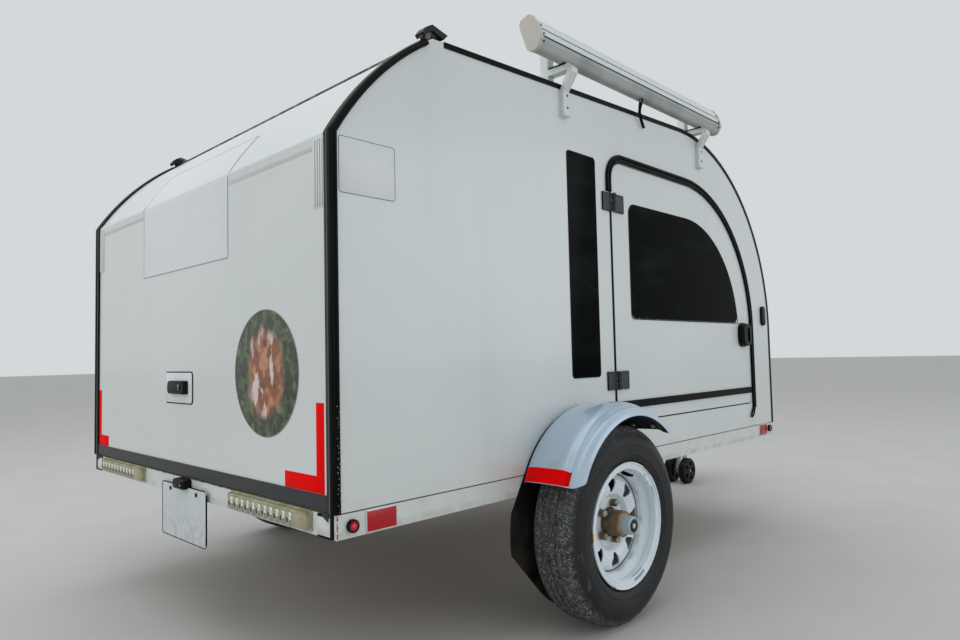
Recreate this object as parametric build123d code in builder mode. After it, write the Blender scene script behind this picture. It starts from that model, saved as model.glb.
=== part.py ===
from build123d import *
from math import asin, cos, degrees, hypot, radians, sin, tan
import os

os.makedirs("parts", exist_ok=True)

# Frame: +X forward to the coupler, +Y to the left, +Z up, the ground at Z = 0.
# Side plans measure x from the rear face and z from the seam, the line
# where the side walls stand on the floor edge. All sizes in millimetres.

# Body shell
body_length = 2427.0
body_width = 1610.0
seam_height = 456.0
skirt_height = 56.0
skirt_thickness = 20.0
floor_thickness = 30.0
wall_thickness = 28.0
roof_thickness = 28.0
crease_height = 858.0
hatch_radius = 900.0
roof_slope = 2.5
nose_radius = 787.0
nose_centre_z = 437.0
seat_gap = 0.3

# Edging of the shell
roof_trim_band = 14.0
roof_trim_thickness = 2.0
roof_trim_cover = 34.0
rear_trim_depth = 5.0
rear_trim_band = 10.0
rear_trim_side_thickness = 4.0

# Rear hatch and its ridge hinge
hinge_x = 310.0
hinge_gap = 3.0
hatch_side_gap = 5.0
hatch_foot_gap = 3.0
hatch_rail_top = 38.0
hatch_rail_proud = 3.0
pivot_rise = 3.8
ridge_rod_radius = 3.5
ridge_rod_clearance = 0.1
ridge_knuckle_wall = 2.0
ridge_knuckle_mouth = 1.5
ridge_leaf_reach = 28.0
ridge_leaf_thickness = 2.0

# Rubber boots over the ends of the ridge hinge, measured from the ridge line
boot_flap = (
    (-36.1, 6.9),
    (-22.8, 23.9),
    (-2.6, 35.7),
    (51.3, 23.0),
    (37.2, 7.9),
    (-3.0, 19.3),
    (-16.0, 13.3),
    (-29.0, -1.7),
)
boot_core = ((-20.0, -30.0), (-18.0, 16.0), (-3.0, 22.0), (33.0, 12.0), (32.0, -30.0))
boot_recess = 6.0
boot_front_gap = 8.0
latch_y = 33.5
latch_z = 264.5
latch_width = 193.0
latch_height = 91.0
latch_thickness = 3.0
latch_corner_radius = 8.0
latch_handle_y = 87.5
latch_handle_width = 85.0
latch_handle_height = 38.0
latch_handle_depth = 24.0
latch_handle_round = 6.0

# Doors
door_rear_x = 1118.0
door_bottom_z = 107.0
door_radius = 560.0
door_gap = 5.0
door_corner_radius = 62.0
door_foot_radius = 30.0
seal_width = 26.0
seal_base_height = 4.0
seal_bead_width = 11.0
seal_bead_height = 9.0
seal_bead_round = 3.0
seal_start_z = 890.0
seal_end_z = 82.0
glass_inset = 106.0
glass_bottom_z = 458.0
glass_radius = 446.0
glass_centre_z = 420.0
glass_corner_radius = 36.0
glass_thickness = 6.0
glass_proud = 1.5
drip_rail_z = 163.0
drip_rail_height = 26.0
drip_rail_depth = 5.0
drip_rail_inset = 4.0
hinge_pin_lead = 2.0
hinge_pin_out = 12.0
knuckle_radius = 7.0
hinge_pin_radius = 3.0
hinge_pin_clearance = 0.1
knuckle_gap = 1.0
hinge_height = 62.0
hinge_leaf_reach = 58.0
hinge_leaf_start = 10.0
hinge_leaf_thickness = 5.0
hinge_bottoms = (217.0, 823.0)
handle_lead = 490.0
handle_z = 408.0
handle_width = 90.0
handle_height = 103.0
handle_depth = 28.0
handle_base_depth = 12.0
handle_round = 34.0
handle_taper = 7.0
handle_recess_lead = 6.0
handle_recess_width = 26.0
handle_recess_height = 66.0
handle_recess_depth = 11.0

# Narrow side window behind each door
strip_rear_x = 873.0
strip_front_x = 1025.0
strip_bottom_z = 265.0
strip_top_z = 988.0
strip_corner_radius = 12.0

# Galley behind the bulkhead
bulkhead_x = 775.0
board_thickness = 18.0
counter_z = 480.0
counter_rear_x = 70.0
divider_y = 260.0

# Lamps, plate and reflectors
tail_lamp_inset = 292.5
tail_lamp_z = -27.0
tail_lamp_width = 395.0
tail_lamp_height = 46.0
tail_lamp_depth = 18.0
tail_lamp_round = 4.0
plate_y = -20.0
plate_top_z = -24.3
plate_bottom_z = -185.0
plate_width = 311.0
plate_thickness = 3.0
plate_standoff = 7.0
plate_corner_radius = 10.0
plate_peg_radius = 5.0
plate_peg_z = -40.0
plate_peg_y = 90.0
plate_lamp_width = 110.0
plate_lamp_depth = 36.0
plate_lamp_top_z = -2.0
plate_lamp_bottom_z = -32.0
plate_lamp_neck_z = -22.0
plate_lamp_neck_depth = 13.0
plate_lamp_slope = 8.0
marker_depth = 9.0
marker_radius = 14.0
marker_red = (40.0, -30.0)
marker_amber_inset = 51.0
marker_amber_z = -24.0
marker_round = 3.0
reflector_red = (79.0, 165.0, -52.0, -5.0)
reflector_amber_insets = (161.0, 78.0)
reflector_amber_heights = (-48.0, -2.0)
reflector_thickness = 3.0
porch_lamp_inset = 77.0
porch_lamp_z = 497.0
porch_lamp_width = 40.0
porch_lamp_height = 90.0
porch_lamp_depth = 12.0
porch_lamp_round = 4.0

# Wheels, hubs and axle
wheel_x = 903.0
wheel_out = 95.0
tyre_radius = 290.0
tyre_outer_drops = ((34.0, 0.0), (50.0, 3.0), (60.0, 11.0), (72.0, 28.0), (80.0, 50.0), (79.0, 75.0))
tyre_bead = ((70.0, 190.5), (61.7, 186.5), (61.7, 165.3), (47.7, 165.3), (53.7, 188.5))
tyre_inner_drops = ((68.0, 72.0), (70.5, 52.0), (66.0, 32.0), (52.0, 17.0))
tread_groove_places = (-22.0, 0.0, 22.0)
tread_groove_width = 7.0
tread_groove_depth = 7.0
rim_wall = 4.0
rim_barrel = (
    (-70.0, 182.5),
    (-62.0, 179.5),
    (-62.0, 165.0),
    (-46.0, 164.0),
    (-30.0, 148.0),
    (22.0, 148.0),
    (40.0, 164.0),
    (62.0, 165.0),
    (62.0, 179.5),
    (70.0, 182.5),
)
rim_disc = (
    (0.0, 38.3),
    (0.0, 72.0),
    (14.0, 84.0),
    (20.0, 104.0),
    (18.0, 126.0),
    (10.0, 138.0),
    (8.0, 145.0),
)
rim_cut = 30.0
window_count = 8
window_start_angle = 2.0
window_inner = 80.0
window_outer = 128.0
window_half_base = 27.0
window_round = 9.0
hub_radius = 38.0
hub_inner_radius = 35.0
hub_flange_radius = 70.0
hub_flange_thickness = 8.0
hub_inner_length = 55.0
hub_bore_length = 100.0
hub_length = 55.0
cap_radius = 27.0
cap_length = 33.0
cap_round = 6.0
lug_circle_radius = 57.15
lug_count = 5
lug_radius = 11.0
lug_length = 20.0
stud_radius = 6.0
stud_length = 24.0
spindle_radius = 20.0
spindle_clearance = 0.1
spindle_reach = 40.0
axle_beam_size = 60.0
axle_lead = 140.0
axle_inset = 45.0
arm_thickness = 28.0
arm_beam_radius = 36.0
arm_spindle_radius = 32.0

# Fenders and the liners behind the tyres
fender_x = 900.0
fender_z = -130.0
fender_start_angle = 43.0
fender_end_angle = 158.5
fender_sheet = 3.0
fender_profile = ((3.0, 296.0), (38.0, 319.0), (135.0, 325.0))
fender_shoulder = ((151.0, 322.0), (163.0, 315.0))
fender_lip = ((192.0, 309.0), (205.0, 288.0))
fender_rib_radius = 2.5
liner_radius = 340.0
liner_top_radius = 300.0
liner_shoulder_z = -98.0
liner_bottom_z = -212.0
liner_thickness = 3.0
liner_corner_radius = 24.0
liner_slot_width = 100.0
liner_slot_top_z = -105.0

# Frame under the floor
rail_height = 50.0
rail_width = 40.0
rail_inset = 265.0
rail_rear_x = 60.0
rail_front_inset = 77.0
tube_wall = 3.0
cross_member_middle_x = 700.0
tongue_size = 50.0
tongue_reach = 903.0
tongue_front_y = 40.0

# Coupler
coupler_ball_lead = 106.0
ball_radius = 25.4
socket_clearance = 0.3
socket_outer_radius = 33.0
socket_length = 26.0
socket_foot_drop = 15.0
coupler_plate_thickness = 6.0
coupler_plate = ((-200.0, 122.0), (15.0, 66.0), (70.0, 30.0))
coupler_neck_length = 236.0
coupler_neck_half_width = 26.0
coupler_neck_height = 36.0
coupler_neck_round = 8.0
coupler_lever_lag = 116.0
coupler_lever_length = 120.0
coupler_lever_half_width = 11.0
coupler_lever_thickness = 14.0

# Parking jack
jack_lag = 280.0
jack_tube_radius = 28.5
jack_tube_wall = 3.0
jack_tube_drop = 74.0
jack_tube_length = 428.0
jack_leg_radius = 25.2
jack_leg_wall = 4.0
jack_leg_inside = 248.0
jack_leg_plug = 20.0
jack_head_radius = 36.0
jack_head_height = 46.0
jack_crank_reach = 74.0
jack_crank_length = 130.0
jack_crank_radius = 7.0
jack_grip_radius = 13.0
jack_grip_length = 90.0
jack_plate_thickness = 8.0
jack_plate_half_length = 50.0
jack_plate_half_width = 150.0
jack_trail = 40.0
jack_wheel_radius = 75.0
jack_wheel_half_width = 19.0
jack_wheel_y = 48.0
jack_wheel_round = 6.0
jack_wheel_holes = 5
jack_wheel_hole_radius = 13.0
jack_wheel_hole_circle = 42.0
jack_axle_radius = 8.0
jack_axle_half_length = 72.0
jack_axle_clearance = 0.1
yoke_rise = 26.0
yoke_gap = 1.0
yoke_plate_radius = 32.0
yoke_plate_thickness = 10.0
yoke_side_inner = 15.0
yoke_side_outer = 22.0
yoke_side_half_length = 22.0
yoke_side_foot = 2.0
yoke_axle_radius = 18.0
yoke_pin_radius = 8.0
yoke_pin_clearance = 0.1
yoke_pin_length = 14.0

# Awning in its case, on two brackets
awning_rear_x = 700.0
awning_front_lead = 260.0
awning_cap_thickness = 14.0
awning_cap_grow = 2.0
awning_section = (
    (-39.0, 1355.0),
    (9.0, 1367.0),
    (34.0, 1329.0),
    (47.0, 1285.0),
    (30.0, 1255.0),
    (-2.0, 1252.0),
)
awning_round = 18.0
awning_grooves = ((25.0, 1342.7), (45.2, 1291.0))
awning_groove_radius = 2.5
bracket_rear_x = 862.0
bracket_front_lead = 127.0
bracket_width = 30.0
bracket_section = (
    (0.0, 1095.0),
    (14.0, 1095.0),
    (14.0, 1170.0),
    (50.0, 1220.0),
    (50.0, 1236.0),
    (30.0, 1254.7),
    (-2.0, 1251.7),
    (-45.0, 1251.7),
    (-45.0, 1305.0),
    (-76.0, 1305.0),
    (-76.0, 1150.0),
    (-45.0, 1150.0),
    (-45.0, 1232.0),
    (30.0, 1232.0),
    (30.0, 1227.0),
    (0.0, 1172.0),
)

# Values worked out from the sizes above
tongue_front_x = body_length + tongue_reach
coupler_ball_x = tongue_front_x + coupler_ball_lead
overall_rear_x = -plate_lamp_depth
overall_front_x = coupler_ball_x + socket_outer_radius
rear_face = -(overall_rear_x + overall_front_x) / 2
half_width = body_width / 2
inner_half_width = half_width - wall_thickness
hatch_half_width = inner_half_width - hatch_side_gap
skirt_bottom = seam_height - skirt_height
rail_top = seam_height - floor_thickness
rail_bottom = rail_top - rail_height
nose_x = body_length - nose_radius
roof_end_x = nose_x - nose_radius * sin(radians(roof_slope))
roof_end_z = nose_centre_z + nose_radius * cos(radians(roof_slope))
hinge_z = roof_end_z - (roof_end_x - hinge_x) * tan(radians(roof_slope))
pivot_z = hinge_z + pivot_rise
far = 2 * body_length


def roof_under_z(x):
    """Height above the seam of the underside of the sloping roof."""
    drop = roof_thickness / cos(radians(roof_slope))
    return hinge_z + (x - hinge_x) * tan(radians(roof_slope)) - drop


def side_plane(y):
    """Plane along the body at y: local x forward from the rear face, local y up from the seam."""
    return Plane(origin=(rear_face, y, seam_height), x_dir=(1, 0, 0), z_dir=(0, -1, 0))


def rear_plane(x, y):
    """Plane facing rearward at x: local x to the right of y, local y up from the seam."""
    return Plane(origin=(rear_face + x, y, seam_height), x_dir=(0, -1, 0), z_dir=(-1, 0, 0))


def wheel_plane(out):
    """Plane square to the axle, out from the wheel's middle, centred on the axle."""
    centre_y = -half_width - wheel_out - out
    return Plane(origin=(rear_face + wheel_x, centre_y, tyre_radius), x_dir=(1, 0, 0), z_dir=(0, -1, 0))


def level_plane(x, y, height):
    """Level plane centred x ahead of the rear face, at a height above the ground."""
    return Plane(origin=(rear_face + x, y, height))


def side_rectangle(low_x, high_x, low_z, high_z, mode=Mode.ADD):
    """A rectangle between two corners on the present plane."""
    with Locations(((low_x + high_x) / 2, (low_z + high_z) / 2)):
        Rectangle(high_x - low_x, high_z - low_z, mode=mode)


def box_between(low_x, high_x, low_y, high_y, low_z, high_z, mode=Mode.ADD):
    """A box between two corners, x from the rear face and z from the ground."""
    with Locations((rear_face + (low_x + high_x) / 2, (low_y + high_y) / 2, (low_z + high_z) / 2)):
        Box(high_x - low_x, high_y - low_y, high_z - low_z, mode=mode)


def rounded_face(low_x, high_x, low_z, high_z, radius):
    """A flat rounded rectangle between two corners."""
    with BuildSketch() as rounded:
        with Locations(((low_x + high_x) / 2, (low_z + high_z) / 2)):
            RectangleRounded(high_x - low_x, high_z - low_z, radius)
    return rounded.sketch


def polygon_face(points):
    """A flat face inside straight lines through the points."""
    with BuildSketch() as polygon:
        with BuildLine():
            Polyline(*points, close=True)
        make_face()
    return polygon.sketch


def door_outline(grow):
    """Side view of the door, grown outwards by a margin."""
    rear = door_rear_x - grow
    bottom = door_bottom_z - grow
    radius = door_radius + grow
    corner = door_corner_radius + grow
    foot = door_foot_radius + grow
    top = nose_centre_z + radius
    with BuildSketch() as door:
        with BuildLine():
            Line((rear, bottom), (rear, top - corner))
            CenterArc((rear + corner, top - corner), corner, 180, -90)
            Line((rear + corner, top), (nose_x, top))
            CenterArc((nose_x, nose_centre_z), radius, 90, -90)
            Line((nose_x + radius, nose_centre_z), (nose_x + radius, bottom + foot))
            CenterArc((nose_x + radius - foot, bottom + foot), foot, 0, -90)
            Line((nose_x + radius - foot, bottom), (rear, bottom))
        make_face()
    return door.sketch


def glass_outline(grow):
    """Side view of the door glass, grown outwards by a margin."""
    left = door_rear_x + glass_inset - grow
    bottom = glass_bottom_z - grow
    radius = glass_radius + grow
    top = glass_centre_z + radius
    foot_angle = degrees(asin((bottom - glass_centre_z) / radius))
    foot_x = nose_x + radius * cos(radians(foot_angle))
    with BuildSketch() as glass:
        with BuildLine():
            Polyline((foot_x, bottom), (left, bottom), (left, top), (nose_x, top))
            CenterArc((nose_x, glass_centre_z), radius, foot_angle, 90 - foot_angle)
        make_face()
        fillet(glass.vertices().group_by(Axis.X)[0], glass_corner_radius + grow)
        fillet(glass.vertices().sort_by(Axis.X)[-1], glass_corner_radius + grow)
    return glass.sketch


def strip_outline(grow):
    """Side view of the narrow window, grown outwards by a margin."""
    return rounded_face(
        strip_rear_x - grow,
        strip_front_x + grow,
        strip_bottom_z - grow,
        strip_top_z + grow,
        strip_corner_radius + grow,
    )


with BuildSketch() as body_outline:
    with BuildLine():
        Line((0, 0), (0, crease_height))
        RadiusArc((0, crease_height), (hinge_x, hinge_z), hatch_radius)
        Line((hinge_x, hinge_z), (roof_end_x, roof_end_z))
        CenterArc((nose_x, nose_centre_z), nose_radius, 0, 90 + roof_slope)
        Line((body_length, nose_centre_z), (body_length, 0))
        Line((body_length, 0), (0, 0))
    make_face()

outline = body_outline.sketch
shell_inside = offset(outline, amount=-roof_thickness)
roof_trim_inside = offset(outline, amount=-roof_trim_band)
roof_trim_outside = offset(outline, amount=roof_trim_thickness)
rear_trim_inside = offset(outline, amount=-rear_trim_band)
rear_trim_outside = offset(outline, amount=rear_trim_depth)
ridge_leaf_outside = offset(outline, amount=ridge_leaf_thickness)
right_wall = side_plane(-half_width)
body_block = extrude(right_wall * outline, amount=-body_width)

# Floor: a panel in a white edge frame
with BuildPart() as floor_panel:
    box_between(
        skirt_thickness,
        body_length - skirt_thickness,
        skirt_thickness - half_width,
        half_width - skirt_thickness,
        rail_top,
        seam_height,
    )

with BuildPart() as floor_skirt:
    box_between(0, body_length, -half_width, half_width, skirt_bottom, seam_height)
    box_between(
        skirt_thickness,
        body_length - skirt_thickness,
        skirt_thickness - half_width,
        half_width - skirt_thickness,
        skirt_bottom,
        seam_height,
        mode=Mode.SUBTRACT,
    )

# Side walls, with the door opening and the narrow window cut
with BuildPart() as side_wall_right:
    with BuildSketch(right_wall):
        add(outline)
        add(door_outline(door_gap), mode=Mode.SUBTRACT)
        add(strip_outline(seat_gap), mode=Mode.SUBTRACT)
    extrude(amount=-wall_thickness)

with BuildPart() as side_wall_left:
    mirror(side_wall_right.part, about=Plane.XZ)

with BuildPart() as strip_windows:
    with BuildSketch(side_plane(-half_width - glass_proud)):
        add(strip_outline(0))
    extrude(amount=-glass_thickness)
    mirror(about=Plane.XZ)

# Roof and nose in one bent panel between the walls
with BuildPart() as roof_panel:
    with BuildSketch(side_plane(-inner_half_width)):
        add(outline)
        add(shell_inside, mode=Mode.SUBTRACT)
        side_rectangle(-far, hinge_x + hinge_gap, -far, far, mode=Mode.SUBTRACT)
        side_rectangle(-far, body_length - roof_thickness, -far, roof_thickness, mode=Mode.SUBTRACT)
    extrude(amount=-2 * inner_half_width)

# Black edging over the joint of roof and walls
with BuildPart() as roof_trims:
    trim_start = hinge_x + boot_core[-1][0] + boot_front_gap
    with BuildSketch(right_wall):
        add(roof_trim_outside)
        add(roof_trim_inside, mode=Mode.SUBTRACT)
        side_rectangle(-far, trim_start, -far, far, mode=Mode.SUBTRACT)
        side_rectangle(-far, body_length - roof_trim_band, -far, roof_trim_band, mode=Mode.SUBTRACT)
        side_rectangle(-far, far, -far, 0, mode=Mode.SUBTRACT)
    extrude(amount=roof_trim_thickness)
    with BuildSketch(right_wall):
        add(roof_trim_outside)
        add(outline, mode=Mode.SUBTRACT)
        side_rectangle(-far, trim_start, -far, far, mode=Mode.SUBTRACT)
        side_rectangle(-far, far, -far, 0, mode=Mode.SUBTRACT)
    extrude(amount=-roof_trim_cover)
    mirror(about=Plane.XZ)

# Thick rubber edging round the rear edge of each wall, beside the hatch
with BuildPart() as rear_trims:
    trim_end = hinge_x + boot_core[0][0] - seat_gap
    with BuildSketch(right_wall):
        add(rear_trim_outside)
        add(rear_trim_inside, mode=Mode.SUBTRACT)
        side_rectangle(trim_end, far, -far, far, mode=Mode.SUBTRACT)
        side_rectangle(rear_trim_band, far, -far, rear_trim_band, mode=Mode.SUBTRACT)
        side_rectangle(-far, far, -far, 0, mode=Mode.SUBTRACT)
    extrude(amount=rear_trim_side_thickness)
    with BuildSketch(right_wall):
        add(rear_trim_outside)
        add(outline, mode=Mode.SUBTRACT)
        side_rectangle(trim_end, far, -far, far, mode=Mode.SUBTRACT)
        side_rectangle(-far, far, -far, 0, mode=Mode.SUBTRACT)
    extrude(amount=-wall_thickness)
    mirror(about=Plane.XZ)

# Bulkhead between cabin and galley, and the galley counter on two dividers
with BuildPart() as bulkhead:
    bulkhead_front_x = bulkhead_x + board_thickness
    with BuildSketch(side_plane(-inner_half_width)):
        add(
            polygon_face(
                (
                    (bulkhead_x, 0),
                    (bulkhead_front_x, 0),
                    (bulkhead_front_x, roof_under_z(bulkhead_front_x)),
                    (bulkhead_x, roof_under_z(bulkhead_x)),
                )
            )
        )
    extrude(amount=-2 * inner_half_width)

with BuildPart() as galley_counter:
    counter_height = seam_height + counter_z
    box_between(
        counter_rear_x,
        bulkhead_x,
        -inner_half_width,
        inner_half_width,
        counter_height,
        counter_height + board_thickness,
    )
    for side in (-1, 1):
        box_between(
            counter_rear_x,
            bulkhead_x,
            side * divider_y - board_thickness / 2,
            side * divider_y + board_thickness / 2,
            seam_height,
            counter_height,
        )

# Hatch: one bent panel on a dark foot rail
with BuildPart() as hatch_panel:
    with BuildSketch(side_plane(-hatch_half_width)):
        add(outline)
        add(shell_inside, mode=Mode.SUBTRACT)
        side_rectangle(hinge_x - hinge_gap, far, -far, far, mode=Mode.SUBTRACT)
        side_rectangle(roof_thickness, far, -far, roof_thickness, mode=Mode.SUBTRACT)
        side_rectangle(-far, far, -far, hatch_rail_top, mode=Mode.SUBTRACT)
    extrude(amount=-2 * hatch_half_width)

with BuildPart() as hatch_rail:
    box_between(
        -hatch_rail_proud,
        roof_thickness,
        -hatch_half_width,
        hatch_half_width,
        seam_height + hatch_foot_gap,
        seam_height + hatch_rail_top,
    )

with BuildPart() as hatch_latch:
    with BuildSketch(rear_plane(0, latch_y)):
        with Locations((0, latch_z)):
            RectangleRounded(latch_width, latch_height, latch_corner_radius)
    extrude(amount=latch_thickness)
    with BuildSketch(rear_plane(0, latch_handle_y)):
        with Locations((0, latch_z)):
            RectangleRounded(latch_handle_width, latch_handle_height, latch_corner_radius)
    extrude(amount=latch_handle_depth)
    fillet(hatch_latch.faces().sort_by(Axis.X)[0].edges(), latch_handle_round)

# Ridge hinge across the roof: the rod and its leaf stay, the rear leaf lifts with the hatch
knuckle_radius_outside = ridge_rod_radius + ridge_rod_clearance + ridge_knuckle_wall


def ridge_leaf(low_x, high_x):
    """Section of a thin leaf on the skin between two places along the body."""
    with BuildSketch() as leaf:
        add(ridge_leaf_outside)
        add(outline, mode=Mode.SUBTRACT)
        side_rectangle(-far, low_x, -far, far, mode=Mode.SUBTRACT)
        side_rectangle(high_x, far, -far, far, mode=Mode.SUBTRACT)
        side_rectangle(-far, far, -far, crease_height, mode=Mode.SUBTRACT)
    return leaf.sketch


def from_ridge(points):
    """Points measured from the ridge line, moved to their places on the side plan."""
    return [(hinge_x + x, hinge_z + z) for x, z in points]


with BuildPart() as ridge_cap_roof:
    with BuildSketch(side_plane(-inner_half_width)):
        add(
            polygon_face(
                from_ridge(
                    (
                        (0, pivot_rise),
                        (2 * hinge_gap, ridge_leaf_thickness),
                        (2 * hinge_gap, 0),
                        (hinge_gap, 0),
                    )
                )
            )
        )
        with Locations((hinge_x, pivot_z)):
            Circle(ridge_rod_radius)
        add(outline, mode=Mode.SUBTRACT)
        add(ridge_leaf(hinge_x + hinge_gap, hinge_x + ridge_leaf_reach))
    extrude(amount=-2 * inner_half_width)
    with BuildSketch(side_plane(-half_width - rear_trim_side_thickness)):
        add(polygon_face(from_ridge(boot_flap)))
    extrude(amount=-rear_trim_side_thickness - wall_thickness)
    with BuildSketch(side_plane(-half_width + boot_recess)):
        add(polygon_face(from_ridge(boot_core)))
        add(outline, mode=Mode.SUBTRACT)
    extrude(amount=boot_recess - wall_thickness)
    mirror(about=Plane.XZ)

with BuildPart() as ridge_cap_hatch:
    with BuildSketch(side_plane(-hatch_half_width)):
        with Locations((hinge_x, pivot_z)):
            Circle(knuckle_radius_outside)
        add(
            polygon_face(
                from_ridge(
                    (
                        (0, pivot_rise),
                        (-knuckle_radius_outside, pivot_rise),
                        (-2 * knuckle_radius_outside, -knuckle_radius_outside),
                        (0, -knuckle_radius_outside),
                    )
                )
            )
        )
        side_rectangle(hinge_x - ridge_knuckle_mouth, far, -far, far, mode=Mode.SUBTRACT)
        with Locations((hinge_x, pivot_z)):
            Circle(ridge_rod_radius + ridge_rod_clearance, mode=Mode.SUBTRACT)
        add(outline, mode=Mode.SUBTRACT)
        add(ridge_leaf(hinge_x - ridge_leaf_reach, hinge_x - hinge_gap))
    extrude(amount=-2 * hatch_half_width)

# Doors
handle_x = nose_x + handle_lead
hinge_pin_x = door_rear_x + hinge_pin_lead

with BuildPart() as door_right:
    with BuildSketch(right_wall):
        add(door_outline(0))
        add(glass_outline(seat_gap), mode=Mode.SUBTRACT)
    extrude(amount=-wall_thickness)

with BuildPart() as door_left:
    mirror(door_right.part, about=Plane.XZ)

with BuildPart() as door_glass_right:
    with BuildSketch(side_plane(-half_width - glass_proud)):
        add(glass_outline(0))
    extrude(amount=-glass_thickness)

with BuildPart() as door_glass_left:
    mirror(door_glass_right.part, about=Plane.XZ)

with BuildPart() as door_rail_right:
    with BuildSketch(right_wall):
        add(
            rounded_face(
                door_rear_x + drip_rail_inset,
                nose_x + door_radius - drip_rail_inset,
                drip_rail_z - drip_rail_height / 2,
                drip_rail_z + drip_rail_height / 2,
                drip_rail_depth,
            )
        )
    extrude(amount=drip_rail_depth)

with BuildPart() as door_rail_left:
    mirror(door_rail_right.part, about=Plane.XZ)

with BuildPart() as door_handle_right:
    with BuildSketch(right_wall):
        with Locations((handle_x, handle_z)):
            RectangleRounded(handle_width, handle_height, handle_round)
    extrude(amount=handle_base_depth)
    with BuildSketch(right_wall):
        with Locations((handle_x, handle_z)):
            RectangleRounded(handle_width - handle_taper, handle_height - handle_taper, handle_round - handle_taper)
    extrude(amount=handle_depth)
    fillet(door_handle_right.faces().sort_by(Axis.Y)[0].edges(), handle_taper)
    with BuildSketch(side_plane(-half_width - handle_depth)):
        with Locations((handle_x + handle_recess_lead, handle_z)):
            SlotOverall(handle_recess_height, handle_recess_width, rotation=90)
    extrude(amount=-handle_recess_depth, mode=Mode.SUBTRACT)

with BuildPart() as door_handle_left:
    mirror(door_handle_right.part, about=Plane.XZ)

# Door hinges: each leaf lies flat, its knuckles on a pin outside the wall
pin_y = -half_width - hinge_pin_out
leaf_y = -half_width - hinge_leaf_thickness
middle_low = hinge_height / 3
middle_high = 2 * hinge_height / 3


def knuckle_face(direction):
    """Plan of a knuckle about the pin, with its web to a leaf behind or ahead of it."""
    with BuildSketch() as knuckle:
        Circle(knuckle_radius)
        add(
            polygon_face(
                (
                    (direction * hinge_leaf_start, leaf_y - pin_y),
                    (direction * hinge_leaf_start, -half_width - pin_y),
                    (direction * knuckle_radius / 2, knuckle_radius / 2),
                    (0, 0),
                )
            )
        )
    return knuckle.sketch


with BuildPart() as hinge_leaves_wall:
    for bottom in hinge_bottoms:
        foot = seam_height + bottom
        box_between(
            hinge_pin_x - hinge_leaf_reach,
            hinge_pin_x - hinge_leaf_start,
            leaf_y,
            -half_width,
            foot,
            foot + hinge_height,
        )
        for low, high in ((0, middle_low), (middle_high, hinge_height)):
            with BuildSketch(level_plane(hinge_pin_x, pin_y, foot + low)):
                add(knuckle_face(-1))
            extrude(amount=high - low)
        with BuildSketch(level_plane(hinge_pin_x, pin_y, foot)):
            Circle(hinge_pin_radius)
        extrude(amount=hinge_height)
    mirror(about=Plane.XZ)

with BuildPart() as hinge_leaves_right:
    for bottom in hinge_bottoms:
        foot = seam_height + bottom
        box_between(
            hinge_pin_x + hinge_leaf_start,
            hinge_pin_x + hinge_leaf_reach + hinge_leaf_start,
            leaf_y,
            -half_width,
            foot,
            foot + hinge_height,
        )
        with BuildSketch(level_plane(hinge_pin_x, pin_y, foot + middle_low + knuckle_gap)):
            add(knuckle_face(1))
            Circle(hinge_pin_radius + hinge_pin_clearance, mode=Mode.SUBTRACT)
        extrude(amount=middle_high - middle_low - 2 * knuckle_gap)

with BuildPart() as hinge_leaves_left:
    mirror(hinge_leaves_right.part, about=Plane.XZ)

# Black seal with two beads on the wall, over the door and down its front
with BuildPart() as door_seals:
    for inner, outer, height in (
        (0, seal_width, seal_base_height),
        (0, seal_bead_width, seal_bead_height),
        (seal_width - seal_bead_width, seal_width, seal_bead_height),
    ):
        seal_x = nose_x + door_radius + door_gap
        with BuildSketch(right_wall):
            add(door_outline(door_gap + outer))
            add(door_outline(door_gap + inner), mode=Mode.SUBTRACT)
            side_rectangle(-far, nose_x, -far, seal_start_z, mode=Mode.SUBTRACT)
            side_rectangle(-far, far, -far, nose_centre_z, mode=Mode.SUBTRACT)
            side_rectangle(seal_x + inner, seal_x + outer, seal_end_z, nose_centre_z)
        extrude(amount=height)
    fillet(door_seals.faces().group_by(Axis.Y)[0].edges(), seal_bead_round)
    mirror(about=Plane.XZ)

# Lamps, plate and reflectors
with BuildPart() as tail_lamps:
    tail_lamp_y = half_width - tail_lamp_inset
    for y in (-tail_lamp_y, tail_lamp_y):
        with BuildSketch(rear_plane(0, y)):
            with Locations((0, tail_lamp_z)):
                Rectangle(tail_lamp_width, tail_lamp_height)
        extrude(amount=tail_lamp_depth)
    fillet(tail_lamps.faces().sort_by(Axis.X)[0:2].edges(), tail_lamp_round)

with BuildPart() as licence_plate:
    with BuildSketch(rear_plane(-plate_standoff, plate_y)):
        add(rounded_face(-plate_width / 2, plate_width / 2, plate_bottom_z, plate_top_z, plate_corner_radius))
    extrude(amount=plate_thickness)
    with BuildSketch(rear_plane(0, plate_y)):
        with Locations((-plate_peg_y, plate_peg_z), (plate_peg_y, plate_peg_z)):
            Circle(plate_peg_radius)
    extrude(amount=plate_standoff)

with BuildPart() as plate_lamp:
    with BuildSketch(side_plane(plate_y - plate_lamp_width / 2)):
        add(
            polygon_face(
                (
                    (0, plate_lamp_top_z),
                    (-plate_lamp_depth + plate_lamp_slope, plate_lamp_top_z),
                    (-plate_lamp_depth, plate_lamp_top_z - plate_lamp_slope),
                    (-plate_lamp_depth, plate_lamp_bottom_z),
                    (-plate_lamp_neck_depth, plate_lamp_bottom_z),
                    (-plate_lamp_neck_depth, plate_lamp_neck_z),
                    (0, plate_lamp_neck_z),
                )
            )
        )
    extrude(amount=-plate_lamp_width)

with BuildPart() as markers_red:
    with BuildSketch(right_wall):
        with Locations(marker_red):
            Circle(marker_radius)
    extrude(amount=marker_depth)
    fillet(markers_red.faces().sort_by(Axis.Y)[0].edges(), marker_round)
    with BuildSketch(right_wall):
        side_rectangle(*reflector_red)
    extrude(amount=reflector_thickness)
    mirror(about=Plane.XZ)

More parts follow.
